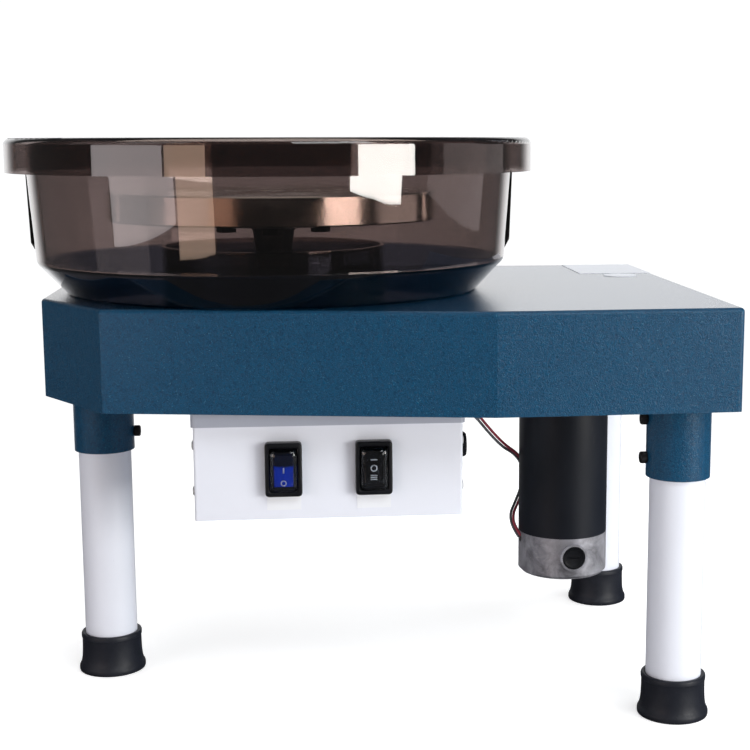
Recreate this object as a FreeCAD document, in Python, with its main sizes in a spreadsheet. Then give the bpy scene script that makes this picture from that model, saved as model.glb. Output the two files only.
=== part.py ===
"""Table-top pottery wheel: a folded steel body on three pull-out legs, a belt-driven
wheel head, a hanging direct-current motor, a switch box and a two-piece splash basin.

Frame: millimetres, +Z up, the floor at Z = 0, the origin under the middle of the whole
object, +X along the body from the wheel end to the motor end, -Y towards the potter.
"""
import FreeCAD, Part
import math
import os

import PartDesign
import Sketcher

os.makedirs("parts", exist_ok=True)
doc = FreeCAD.newDocument("pottery_wheel")
sheet = doc.addObject("Spreadsheet::Sheet", "Dims")

# ---------------------------------------------------------------- driving dimensions

DIMENSIONS = {
    # whole machine: heights above the floor, and the wheel axis from the origin
    "wheel_x": -61.0,
    "body_top": 301.5,
    "body_base": 230.0,
    "body_sheet": 2.0,
    "body_fold": 3.0,
    # body outline, measured from the wheel axis
    "nose_reach": 167.0,
    "nose_half": 61.0,
    "corner_reach": 116.5,
    "corner_half": 138.0,
    "shoulder_reach": 149.0,
    "shoulder_half": 182.0,
    "tail_reach": 319.0,
    "tail_half": 178.0,
    # wheel head and what turns with it
    "head_radius": 125.0,
    "head_top": 376.0,
    "head_base": 354.8,
    "head_plate": 9.0,
    "head_rim": 13.0,
    "head_boss": 52.0,
    "groove_pitch": 18.0,
    "groove_depth": 0.7,
    "groove_half": 0.8,
    "pin_circle": 200.0,
    "pin_hole_radius": 3.2,
    "hub_flange": 48.0,
    "hub_flange_thick": 5.0,
    "hub_top_radius": 16.0,
    "hub_foot_radius": 13.0,
    "hub_base": 313.0,
    "hub_foot_height": 14.0,
    "hub_cone": 4.0,
    "hub_bolt_radius": 4.0,
    "hub_bolt_flats": 13.0,
    "hub_bolt_head": 5.5,
    "hub_bolt_bite": 14.0,
    "hub_bolt_circle": 72.0,
    "spindle_radius": 10.0,
    "spindle_base": 235.0,
    "spindle_top": 375.5,
    "edge_break": 1.0,
    "running_gap": 0.05,
    # bearing housing and bearings
    "housing_base": 264.0,
    "housing_top": 312.0,
    "housing_radius": 30.0,
    "housing_flange": 48.0,
    "housing_flange_thick": 6.0,
    "housing_bolt_circle": 78.0,
    "bearing_radius": 23.5,
    "bearing_width": 14.0,
    "bearing_shoulder": 2.0,
    "bearing_inset": 2.0,
    "housing_clearance": 0.5,
    "housing_bolt_radius": 3.0,
    "housing_bolt_hole": 3.3,
    "housing_bolt_flats": 10.0,
    "housing_bolt_head": 5.0,
    # belt drive
    "pulley_base": 246.0,
    "pulley_width": 14.0,
    "pulley_flange": 1.7,
    "pulley_lip": 3.0,
    "pulley_web_inset": 5.0,
    "pulley_hub": 19.0,
    "pulley_rim_inner": 64.0,
    "lightening_circle": 42.0,
    "lightening_radius": 11.0,
    "nut_flats": 30.0,
    "nut_height": 9.0,
    "large_seat": 72.0,
    "small_seat": 14.4,
    "belt_thick": 4.0,
    "belt_width": 10.0,
    "belt_gap": 0.3,
    # motor, hanging below its plate
    "motor_reach": 227.5,
    "motor_radius": 35.3,
    "motor_wall": 3.0,
    "bell_base": 70.5,
    "bell_top": 103.6,
    "can_top": 222.0,
    "plate_base": 232.0,
    "plate_thick": 4.0,
    "plate_long": 120.0,
    "plate_wide": 116.0,
    "plate_bore": 12.0,
    "mount_circle": 52.0,
    "mount_radius": 2.6,
    "mount_head_radius": 4.2,
    "mount_head": 4.0,
    "post_radius": 6.0,
    "post_x": 50.0,
    "post_y": 48.0,
    "shaft_radius": 5.0,
    "shaft_top": 262.0,
    "motor_bearing_radius": 13.0,
    "motor_bearing_width": 9.0,
    "spigot": 3.0,
    "bell_floor": 4.0,
    "bell_chamfer": 2.5,
    "bell_bearing_seat": 12.0,
    "shaft_end": 4.5,
    "shaft_chamfer": 0.8,
    "armature_radius": 24.0,
    "armature_base": 112.0,
    "armature_core_base": 126.0,
    "armature_core_top": 204.0,
    "armature_top": 215.0,
    "winding_taper": 5.0,
    "magnet_base": 122.0,
    "magnet_top": 208.0,
    "commutator_base": 84.5,
    "commutator_top": 99.0,
    "commutator_radius": 13.0,
    "magnet_thick": 7.0,
    "brush_height": 88.7,
    "brush_turn": 5.0,
    "brush_cap_radius": 9.3,
    "brush_boss_radius": 11.0,
    "brush_boss_proud": 1.4,
    "brush_boss_root": 8.0,
    "brush_cap_recess": 0.8,
    "brush_cap_slot_long": 9.0,
    "brush_cap_slot_wide": 1.6,
    "brush_cap_slot_deep": 1.5,
    "brush_air": 0.4,
    "brush_size": 6.0,
    # legs
    "left_leg_reach": -133.8,
    "right_leg_reach": 285.3,
    "right_leg_half": 137.5,
    "socket_radius": 22.85,
    "socket_wall": 2.5,
    "socket_base": 177.5,
    "leg_radius": 20.0,
    "leg_wall": 2.0,
    "leg_top": 240.0,
    "leg_stop_gap": 0.3,
    "leg_stop_thick": 3.0,
    "foot_radius": 22.95,
    "foot_flare": 25.7,
    "foot_height": 31.0,
    "foot_sole": 6.0,
    "foot_flare_low": 4.0,
    "foot_flare_high": 9.0,
    "foot_waist": 15.0,
    "lock_screw_low": 191.0,
    "lock_screw_high": 219.0,
    "lock_head_radius": 4.25,
    "lock_head": 5.0,
    "lock_shank_radius": 2.5,
    # switch box, measured from the wheel axis
    "box_left": -57.0,
    "box_right": 132.5,
    "box_front": -125.0,
    "box_back": 10.0,
    "box_base": 149.5,
    "box_top": 228.2,
    "box_sheet": 1.5,
    "cover_skirt": 216.5,
    "case_corner": 2.0,
    "cover_corner": 3.5,
    "side_screw_radius": 3.6,
    "side_screw_head": 2.0,
    "side_screw_high": 201.0,
    "side_screw_low": 168.0,
    "side_screw_drop": 6.0,
    "side_screw_front": -110.0,
    "side_screw_rear": 2.0,
    "strap_inset": 12.0,
    "strap_foot": 16.0,
    "strap_sheet": 2.0,
    "strap_front": -84.0,
    "strap_wide": 30.0,
    "stud_radius": 3.0,
    "stud_x": 45.0,
    "stud_y": 28.0,
    "board_offset": 12.0,
    "board_long": 130.0,
    "board_wide": 76.0,
    "capacitor_radius": 9.0,
    "capacitor_tall": 32.0,
    "inlet_wide": 27.0,
    "inlet_tall": 20.0,
    "inlet_deep": 18.0,
    "inlet_flange_wide": 48.0,
    "inlet_flange_tall": 26.0,
    "inlet_flange": 2.5,
    "inlet_mouth_wide": 24.0,
    "inlet_mouth_tall": 16.5,
    "inlet_mouth_deep": 15.0,
    "switch_one": 5.6,
    "switch_two": 69.0,
    "switch_height": 186.3,
    "bezel_wide": 26.0,
    "bezel_tall": 38.5,
    "bezel_proud": 8.0,
    "window_wide": 19.6,
    "window_tall": 31.0,
    "barrel_wide": 22.0,
    "barrel_tall": 32.0,
    "barrel_deep": 24.0,
    "well_wide": 15.0,
    "well_tall": 27.0,
    "rocker_wide": 14.0,
    "rocker_tall": 23.0,
    "rocker_face": 9.0,
    "rocker_pivot": 3.0,
    "rocker_pin_radius": 1.5,
    "rocker_dish": 1.2,
    "rocker_flat": 4.0,
    "rocker_skirt": 2.0,
    "rocker_heel": 5.0,
    "bezel_corner": 2.5,
    "well_floor": 2.0,
    "boot_dome": 3.0,
    "boot_corner": 2.0,
    "boot_wall": 0.8,
    "label_wide": 24.0,
    "label_tall": 10.5,
    "label_thick": 0.3,
    "label_gap": 0.3,
    "board_height": 160.0,
    "board_thick": 1.6,
    "socket_reach": -95.0,
    "socket_height": 194.6,
    "socket_nut_radius": 9.1,
    "socket_nut_face": 5.4,
    "socket_nut_edge": 0.8,
    "socket_bore": 5.6,
    "socket_bore_deep": 4.0,
    "socket_barrel": 7.5,
    "socket_barrel_deep": 14.0,
    "gland_reach": -10.0,
    "gland_height": 210.0,
    "gland_radius": 4.5,
    "gland_length": 7.0,
    "gland_neck": 3.0,
    "gland_tail": 5.0,
    "wire_radius": 1.1,
    "wire_notch": 4.4,
    "earth_reach": -113.0,
    "earth_height": 221.5,
    "earth_washer_radius": 4.0,
    "earth_nut_radius": 3.1,
    "earth_nut_top": 4.0,
    "earth_stud_radius": 1.5,
    "earth_stud_top": 6.0,
    # splash basin
    "basin_gap": 0.3,
    "basin_wall": 3.0,
    "basin_floor_radius": 155.0,
    "basin_knee_radius": 176.8,
    "basin_knee_height": 325.0,
    "basin_wall_radius": 181.5,
    "basin_lip_radius": 197.0,
    "basin_lip_base": 391.2,
    "basin_top": 416.0,
    "basin_wall_lean": 1.2,
    "lip_round": 5.0,
    "knee_round": 7.0,
    "floor_round": 5.0,
    "collar_radius": 85.0,
    "collar_top": 335.0,
    "rib_proud": 2.8,
    "rib_thick": 4.0,
    "rib_base": 330.0,
    "rib_step": 8.0,
    "rib_taper": 2.0,
    "rib_root": 1.2,
    "rib_bite": 0.5,
    "split_half": 0.75,
    "seal_thick": 1.2,
    # stickers on the body's top
    "plate_sticker_wide": 61.0,
    "plate_sticker_deep": 86.0,
    "sticker_reach": 287.0,
    "plate_sticker_half": 132.0,
    "round_sticker_half": 70.0,
    "round_sticker_radius": 14.0,
}


class Size:
    """A length that carries both its value and the expression that gives it."""

    def __init__(self, value, text):
        self.value = value
        self.text = text

    def __add__(self, other):
        other = as_size(other)
        return Size(self.value + other.value, f"({self.text} + {other.text})")

    def __sub__(self, other):
        other = as_size(other)
        return Size(self.value - other.value, f"({self.text} - {other.text})")

    def __mul__(self, other):
        other = as_size(other)
        return Size(self.value * other.value, f"({self.text} * {other.text})")

    def __truediv__(self, other):
        other = as_size(other)
        return Size(self.value / other.value, f"({self.text} / {other.text})")

    def __neg__(self):
        return Size(-self.value, f"(0 - {self.text})")


def as_size(number):
    """Turn a plain number into a Size, and leave a Size as it is."""
    if isinstance(number, Size):
        return number
    return Size(float(number), repr(float(number)))


def fill_sheet():
    """Write one row per dimension and return the Size of each alias."""
    sizes = {}
    for row, (name, value) in enumerate(DIMENSIONS.items(), start=1):
        sheet.set(f"A{row}", name)
        sheet.set(f"B{row}", str(value))
        sheet.setAlias(f"B{row}", name)
        sizes[name] = Size(value, f"Dims.{name}")
    return sizes


class Cells:
    """The sheet's sizes as attributes."""

    def __init__(self, sizes):
        self.__dict__.update(sizes)


D = Cells(fill_sheet())
doc.recompute()

ZERO = as_size(0)
SUB_PARTS = []
GROOVES = 6
MAGNET_HALF_ANGLE = 70
TURN_Z_TO_X = FreeCAD.Rotation(FreeCAD.Vector(0, 1, 0), 90)


# ---------------------------------------------------------------- building helpers

def bind(item, path, size):
    """Tie one property of a document object to the sheet."""
    item.setExpression(path, as_size(size).text)


def place(item, x=ZERO, y=ZERO, z=ZERO, rotation=None):
    """Give an object its Placement, with its position tied to the sheet."""
    if rotation is not None:
        item.Placement = FreeCAD.Placement(FreeCAD.Vector(0, 0, 0), rotation)
    for axis, size in zip("xyz", (x, y, z)):
        bind(item, f"Placement.Base.{axis}", size)


def new_body(label):
    """Start a named sub-part that may hold several separate solids."""
    body = doc.addObject("PartDesign::Body", label)
    body.Label = label
    body.AllowCompound = True
    SUB_PARTS.append(body)
    return body


def new_sketch(body, plane, offset=ZERO):
    """Attach an empty sketch to one of the body's own origin planes."""
    sketch = body.newObject("Sketcher::SketchObject", body.Name + "_sketch")
    role = plane + "_Plane"
    origin_plane = [item for item in body.Origin.OriginFeatures if item.Role == role][0]
    sketch.AttachmentSupport = [(origin_plane, "")]
    sketch.MapMode = "FlatFace"
    bind(sketch, "AttachmentOffset.Base.z", offset)
    return sketch


def fix_point(constraints, links, edge, end, x, y):
    """Place one sketch point from the sketch origin."""
    for kind, size in (("DistanceX", x), ("DistanceY", y)):
        size = as_size(size)
        links.append((len(constraints), size.text))
        constraints.append(Sketcher.Constraint(kind, -1, 1, edge, end, size.value))


def apply_constraints(sketch, constraints, links):
    """Add a block of constraints and tie their values to the sheet."""
    first = sketch.ConstraintCount
    sketch.addConstraint(constraints)
    for index, text in links:
        sketch.setExpression(f"Constraints[{first + index}]", text)


def outline(sketch, points):
    """Draw a closed polygon whose corners are all placed by sizes."""
    corners = [(as_size(x), as_size(y)) for x, y in points]
    first = sketch.GeometryCount
    count = len(corners)
    lines = []
    for index, (x, y) in enumerate(corners):
        next_x, next_y = corners[(index + 1) % count]
        start = FreeCAD.Vector(x.value, y.value, 0)
        end = FreeCAD.Vector(next_x.value, next_y.value, 0)
        lines.append(Part.LineSegment(start, end))
    sketch.addGeometry(lines)
    constraints = []
    links = []
    for index, (x, y) in enumerate(corners):
        edge = first + index
        following = first + (index + 1) % count
        constraints.append(Sketcher.Constraint("Coincident", edge, 2, following, 1))
        fix_point(constraints, links, edge, 1, x, y)
    apply_constraints(sketch, constraints, links)


def rectangle(sketch, centre_x, centre_y, wide, tall):
    """Draw a rectangle about a centre."""
    left, right = centre_x - wide / 2, centre_x + wide / 2
    low, high = centre_y - tall / 2, centre_y + tall / 2
    outline(sketch, [(left, low), (right, low), (right, high), (left, high)])


def hexagon(sketch, centre_x, centre_y, across_flats):
    """Draw a regular hexagon about a centre."""
    corner = as_size(across_flats) / math.sqrt(3)
    points = []
    for turn in range(6):
        angle = math.radians(60 * turn)
        points.append((centre_x + corner * math.cos(angle), centre_y + corner * math.sin(angle)))
    outline(sketch, points)


def circle(sketch, centre_x, centre_y, radius):
    """Draw a circle about a centre."""
    centre_x, centre_y, radius = as_size(centre_x), as_size(centre_y), as_size(radius)
    middle = FreeCAD.Vector(centre_x.value, centre_y.value, 0)
    edge = sketch.addGeometry(Part.Circle(middle, FreeCAD.Vector(0, 0, 1), radius.value))
    constraints = []
    links = []
    fix_point(constraints, links, edge, 3, centre_x, centre_y)
    links.append((len(constraints), radius.text))
    constraints.append(Sketcher.Constraint("Radius", edge, radius.value))
    apply_constraints(sketch, constraints, links)


def pad(body, sketch, length, backwards=False):
    """Pad a sketch by a bound length."""
    feature = body.newObject("PartDesign::Pad", body.Name + "_pad")
    feature.Profile = sketch
    feature.Reversed = backwards
    bind(feature, "Length", length)
    doc.recompute()
    return feature


def pocket(body, sketch, length, backwards=False):
    """Cut a sketch to a bound depth."""
    feature = body.newObject("PartDesign::Pocket", body.Name + "_pocket")
    feature.Profile = sketch
    feature.Reversed = backwards
    bind(feature, "Length", length)
    doc.recompute()
    return feature


def turn_profile(body, points, angle=360, backwards=False):
    """Revolve a closed outline, given as radius and height, about the body's Z axis."""
    sketch = new_sketch(body, "XZ")
    outline(sketch, points)
    feature = body.newObject("PartDesign::Revolution", body.Name + "_turned")
    feature.Profile = sketch
    feature.ReferenceAxis = (sketch, ["V_Axis"])
    feature.Angle = angle
    feature.Reversed = backwards
    doc.recompute()
    return feature


def round_edges(body, radius, chosen):
    """Fillet the edges that the test picks out."""
    base = body.Tip
    names = [f"Edge{i}" for i, edge in enumerate(base.Shape.Edges, start=1) if chosen(edge)]
    feature = body.newObject("PartDesign::Fillet", body.Name + "_fillet")
    feature.Base = (base, names)
    bind(feature, "Radius", radius)
    doc.recompute()
    return feature


def hollow(body, wall, open_face):
    """Leave a wall of even thickness, open at the face that the test picks out."""
    base = body.Tip
    names = [f"Face{i}" for i, face in enumerate(base.Shape.Faces, start=1) if open_face(face)]
    feature = body.newObject("PartDesign::Thickness", body.Name + "_shell")
    feature.Base = (base, names)
    feature.Reversed = True
    feature.Join = 1
    bind(feature, "Value", wall)
    doc.recompute()
    return feature


def turned(label, points, x=ZERO, y=ZERO, z=ZERO, rotation=None):
    """Make a whole turned sub-part and place it."""
    body = new_body(label)
    turn_profile(body, points)
    place(body, x, y, z, rotation)
    return body


def ring(inner, outer, low, high):
    """The four corners of a turned ring."""
    return [(inner, low), (outer, low), (outer, high), (inner, high)]


def is_at_height(item, height):
    """Whether a face or edge lies wholly at one height."""
    box = item.BoundBox
    return abs(box.ZMin - height) < 0.01 and abs(box.ZMax - height) < 0.01


# ---------------------------------------------------------------- body and legs

def make_body_shell():
    """The folded eight-sided steel cover, open below."""
    body = new_body("body_shell")
    half_outline = [
        (-D.nose_reach, -D.nose_half),
        (-D.corner_reach, -D.corner_half),
        (D.shoulder_reach, -D.shoulder_half),
        (D.tail_reach, -D.tail_half),
    ]
    mirrored = [(x, -y) for x, y in reversed(half_outline)]
    sketch = new_sketch(body, "XY", D.body_base)
    outline(sketch, half_outline + mirrored)
    pad(body, sketch, D.body_top - D.body_base)
    round_edges(body, D.body_fold, lambda edge: not is_at_height(edge, D.body_base.value))
    hollow(body, D.body_sheet, lambda face: is_at_height(face, D.body_base.value))
    hole = new_sketch(body, "XY", D.body_top)
    circle(hole, ZERO, ZERO, D.housing_radius + D.housing_clearance)
    pocket(body, hole, D.body_sheet * 2)
    place(body, D.wheel_x)


def make_leg(name, reach, half, screw_side):
    """One welded socket and the tube and foot that slide in it."""
    bore = D.socket_radius - D.socket_wall
    stop = D.leg_top + D.leg_stop_gap
    underside = D.body_top - D.body_sheet
    socket = new_body(f"leg_socket_{name}")
    turn_profile(socket, [
        (bore, D.socket_base), (D.socket_radius, D.socket_base), (D.socket_radius, underside),
        (bore, underside), (bore, stop + D.leg_stop_thick), (ZERO, stop + D.leg_stop_thick),
        (ZERO, stop), (bore, stop),
    ])
    screw_plane = new_sketch(socket, "YZ")
    for height in (D.lock_screw_low, D.lock_screw_high):
        circle(screw_plane, ZERO, height, D.lock_shank_radius)
    pocket(socket, screw_plane, D.socket_radius + 1, backwards=screw_side > 0)
    place(socket, D.wheel_x + reach, half)
    turned(f"leg_tube_{name}", [
        (D.leg_radius - D.leg_wall, D.foot_sole), (D.leg_radius, D.foot_sole),
        (D.leg_radius, D.leg_top), (D.leg_radius - D.leg_wall, D.leg_top),
    ], D.wheel_x + reach, half)
    turned(f"leg_foot_{name}", [
        (ZERO, ZERO), (D.foot_flare - D.edge_break, ZERO), (D.foot_flare, D.edge_break),
        (D.foot_flare, D.foot_flare_low), (D.foot_flare - D.edge_break, D.foot_flare_high),
        (D.foot_radius, D.foot_waist), (D.foot_radius, D.foot_height - D.edge_break),
        (D.foot_radius - D.edge_break, D.foot_height), (D.leg_radius, D.foot_height),
        (D.leg_radius, D.foot_sole), (ZERO, D.foot_sole),
    ], D.wheel_x + reach, half)


LEGS = {
    "left": (D.left_leg_reach, ZERO, 1),
    "front": (D.right_leg_reach, -D.right_leg_half, -1),
    "rear": (D.right_leg_reach, D.right_leg_half, -1),
}


def make_lock_screws():
    """Two cap screws in each socket, clamping the leg tube."""
    body = new_body("leg_lock_screws")
    bore = D.socket_radius - D.socket_wall
    for reach, half, side in LEGS.values():
        outward = side > 0
        head_start = reach + D.socket_radius * side
        shank_start = reach + bore * side
        for radius, start, length in (
            (D.lock_shank_radius, shank_start, D.socket_wall),
            (D.lock_head_radius, head_start, D.lock_head),
        ):
            sketch = new_sketch(body, "YZ", start)
            for height in (D.lock_screw_low, D.lock_screw_high):
                circle(sketch, half, height, radius)
            pad(body, sketch, length, backwards=not outward)
    place(body, D.wheel_x)


# ---------------------------------------------------------------- spindle and wheel head

def make_bearing_housing():
    """The flanged housing under the top, its two bearings and its bolts."""
    shoulder = D.bearing_radius - D.bearing_shoulder
    lower_base = D.housing_base + D.bearing_inset
    lower_top = lower_base + D.bearing_width
    upper_base = D.housing_top - D.bearing_inset - D.bearing_width
    underside = D.body_top - D.body_sheet
    flange_base = underside - D.housing_flange_thick
    housing = new_body("bearing_housing")
    turn_profile(housing, [
        (D.bearing_radius, D.housing_base), (D.housing_radius, D.housing_base),
        (D.housing_radius, flange_base), (D.housing_flange, flange_base),
        (D.housing_flange, underside), (D.housing_radius, underside),
        (D.housing_radius, D.housing_top), (D.bearing_radius, D.housing_top),
        (D.bearing_radius, upper_base), (shoulder, upper_base),
        (shoulder, lower_top), (D.bearing_radius, lower_top),
    ])
    holes = new_sketch(housing, "XY", underside)
    for x, y in bolt_places(D.housing_bolt_circle, 4, 45):
        circle(holes, x, y, D.housing_bolt_hole)
    pocket(housing, holes, D.housing_flange_thick)
    place(housing, D.wheel_x)
    bore = D.spindle_radius + D.running_gap
    for label, low in (("lower_bearing", lower_base), ("upper_bearing", upper_base)):
        turned(label, ring(bore, D.bearing_radius, low, low + D.bearing_width), D.wheel_x)
    bolts = new_body("housing_bolts")
    heads = new_sketch(bolts, "XY", flange_base - D.housing_bolt_head)
    shanks = new_sketch(bolts, "XY", flange_base)
    for x, y in bolt_places(D.housing_bolt_circle, 4, 45):
        hexagon(heads, x, y, D.housing_bolt_flats)
        circle(shanks, x, y, D.housing_bolt_radius)
    pad(bolts, heads, D.housing_bolt_head)
    pad(bolts, shanks, D.housing_flange_thick)
    place(bolts, D.wheel_x)


def bolt_places(circle_diameter, count, first_angle):
    """Centres of bolts evenly spaced on a circle."""
    places = []
    for index in range(count):
        angle = math.radians(first_angle + 360 * index / count)
        radius = circle_diameter / 2
        places.append((radius * math.cos(angle), radius * math.sin(angle)))
    return places


def make_wheel_head():
    """The cast aluminium head: a grooved plate with a deep rim and a central boss."""
    body = new_body("wheel_head")
    inner_rim = D.head_radius - D.head_rim
    under_plate = D.head_top - D.head_plate
    points = [
        (D.spindle_radius, D.head_base), (D.head_boss, D.head_base),
        (D.head_boss, under_plate), (inner_rim, under_plate),
        (inner_rim, D.head_base), (D.head_radius - D.edge_break, D.head_base),
        (D.head_radius, D.head_base + D.edge_break),
        (D.head_radius, D.head_top - D.edge_break), (D.head_radius - D.edge_break, D.head_top),
    ]
    for number in range(GROOVES, 0, -1):
        middle = D.groove_pitch * number
        floor = D.head_top - D.groove_depth
        points += [
            (middle + D.groove_half, D.head_top), (middle, floor),
            (middle - D.groove_half, D.head_top),
        ]
    points.append((D.spindle_radius, D.head_top))
    turn_profile(body, points)
    holes = new_sketch(body, "XY", D.head_top)
    for x, y in bolt_places(D.pin_circle, 2, 60):
        circle(holes, x, y, D.pin_hole_radius)
    pocket(body, holes, D.head_plate)
    bolt_holes = new_sketch(body, "XY", D.head_base)
    for x, y in bolt_places(D.hub_bolt_circle, 4, 0):
        circle(bolt_holes, x, y, D.hub_bolt_radius)
    pocket(body, bolt_holes, D.hub_bolt_bite, backwards=True)
    place(body, D.wheel_x)


def make_hub():
    """The hub flange bolted under the head, its bolts and the spindle."""
    flange_base = D.head_base - D.hub_flange_thick
    hub = new_body("wheel_hub")
    turn_profile(hub, [
        (D.spindle_radius, D.hub_base), (D.hub_foot_radius, D.hub_base),
        (D.hub_foot_radius, D.hub_base + D.hub_foot_height),
        (D.hub_top_radius, flange_base - D.hub_cone),
        (D.hub_top_radius + D.hub_cone, flange_base), (D.hub_flange, flange_base),
        (D.hub_flange, D.head_base), (D.spindle_radius, D.head_base),
    ])
    holes = new_sketch(hub, "XY", D.head_base)
    for x, y in bolt_places(D.hub_bolt_circle, 4, 0):
        circle(holes, x, y, D.hub_bolt_radius)
    pocket(hub, holes, D.hub_flange_thick)
    place(hub, D.wheel_x)
    bolts = new_body("hub_bolts")
    heads = new_sketch(bolts, "XY", flange_base - D.hub_bolt_head)
    shanks = new_sketch(bolts, "XY", flange_base)
    for x, y in bolt_places(D.hub_bolt_circle, 4, 0):
        hexagon(heads, x, y, D.hub_bolt_flats)
        circle(shanks, x, y, D.hub_bolt_radius)
    pad(bolts, heads, D.hub_bolt_head)
    pad(bolts, shanks, D.hub_flange_thick + D.hub_bolt_bite)
    place(bolts, D.wheel_x)
    turned("wheel_spindle", [
        (ZERO, D.spindle_base), (D.spindle_radius - D.edge_break, D.spindle_base),
        (D.spindle_radius, D.spindle_base + D.edge_break), (D.spindle_radius, D.spindle_top),
        (ZERO, D.spindle_top),
    ], D.wheel_x)


def pulley_outline(bore, seat, hub_radius, web_radius):
    """Half section of a flanged flat-belt pulley with a thin web."""
    low = D.pulley_base
    high = D.pulley_base + D.pulley_width
    lip = seat + D.pulley_lip
    web_low = low + D.pulley_web_inset
    web_high = high - D.pulley_web_inset
    return [
        (bore, low), (hub_radius, low), (hub_radius, web_low), (web_radius, web_low),
        (web_radius, low), (lip, low), (lip, low + D.pulley_flange),
        (seat, low + D.pulley_flange), (seat, high - D.pulley_flange),
        (lip, high - D.pulley_flange), (lip, high), (web_radius, high),
        (web_radius, web_high), (hub_radius, web_high), (hub_radius, high), (bore, high),
    ]


def make_large_pulley():
    """The driven pulley with six lightening holes, and the nut that holds it."""
    body = new_body("driven_pulley")
    turn_profile(body, pulley_outline(D.spindle_radius, D.large_seat,
                                      D.pulley_hub, D.pulley_rim_inner))
    hole = new_sketch(body, "XY", D.pulley_base + D.pulley_width)
    circle(hole, D.lightening_circle, ZERO, D.lightening_radius)
    cut = pocket(body, hole, D.pulley_width)
    pattern = body.newObject("PartDesign::PolarPattern", "driven_pulley_holes")
    pattern.Originals = [cut]
    pattern.Axis = (hole, ["N_Axis"])
    pattern.Angle = 360
    pattern.Occurrences = 6
    body.Tip = pattern
    doc.recompute()
    place(body, D.wheel_x)
    nut = new_body("spindle_nut")
    sketch = new_sketch(nut, "XY", D.pulley_base - D.nut_height)
    hexagon(sketch, ZERO, ZERO, D.nut_flats)
    circle(sketch, ZERO, ZERO, D.spindle_radius)
    pad(nut, sketch, D.nut_height)
    place(nut, D.wheel_x)


# ---------------------------------------------------------------- motor and belt

def make_motor_case():
    """The plate on its posts, the black can, the two end pieces and their fittings."""
    axis = D.wheel_x + D.motor_reach
    plate_top = D.plate_base + D.plate_thick
    plate = new_body("motor_plate")
    sketch = new_sketch(plate, "XY", D.plate_base)
    rectangle(sketch, ZERO, ZERO, D.plate_long, D.plate_wide)
    circle(sketch, ZERO, ZERO, D.plate_bore)
    for x, y in bolt_places(D.mount_circle, 4, 45):
        circle(sketch, x, y, D.mount_radius)
    pad(plate, sketch, D.plate_thick)
    place(plate, axis)
    posts = new_body("motor_plate_posts")
    sketch = new_sketch(posts, "XY", plate_top)
    for x in (-D.post_x, D.post_x):
        for y in (-D.post_y, D.post_y):
            circle(sketch, x, y, D.post_radius)
    pad(posts, sketch, D.body_top - D.body_sheet - plate_top)
    place(posts, axis)
    screws = new_body("motor_mount_screws")
    heads = new_sketch(screws, "XY", plate_top)
    shanks = new_sketch(screws, "XY", D.plate_base)
    for x, y in bolt_places(D.mount_circle, 4, 45):
        circle(heads, x, y, D.mount_head_radius)
        circle(shanks, x, y, D.mount_radius)
    pad(screws, heads, D.mount_head)
    pad(screws, shanks, D.plate_thick)
    place(screws, axis)
    inner = D.motor_radius - D.motor_wall
    turned("motor_can", ring(inner, D.motor_radius, D.bell_top, D.can_top), axis)
    seat = D.can_top
    pocket_top = seat + D.motor_bearing_width
    front_cap = new_body("motor_front_cap")
    turn_profile(front_cap, [
        (D.shaft_radius + D.edge_break, D.plate_base), (D.shaft_radius + D.edge_break, pocket_top),
        (D.motor_bearing_radius, pocket_top), (D.motor_bearing_radius, seat - D.spigot),
        (inner, seat - D.spigot), (inner, seat), (D.motor_radius, seat),
        (D.motor_radius, D.plate_base),
    ])
    place(front_cap, axis)
    make_end_bell(axis, inner)
    bore = D.shaft_radius + D.running_gap
    bearings = new_body("motor_bearings")
    turn_profile(bearings, ring(bore, D.motor_bearing_radius, seat, pocket_top))
    low = D.bell_base + D.bell_floor
    turn_profile(bearings, ring(bore, D.motor_bearing_radius, low,
                                low + D.motor_bearing_width - 1))
    place(bearings, axis)
    magnets = new_body("motor_magnets")
    for backwards in (False, True):
        section = ring(inner - D.magnet_thick, inner, D.magnet_base, D.magnet_top)
        turn_profile(magnets, section, angle=MAGNET_HALF_ANGLE, backwards=backwards)
    pattern = magnets.newObject("PartDesign::PolarPattern", "magnet_pair")
    pattern.Originals = [item for item in magnets.Group if "turned" in item.Name]
    pattern.Axis = (magnets.Group[0], ["V_Axis"])
    pattern.Angle = 360
    pattern.Occurrences = 2
    magnets.Tip = pattern
    doc.recompute()
    place(magnets, axis)


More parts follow.
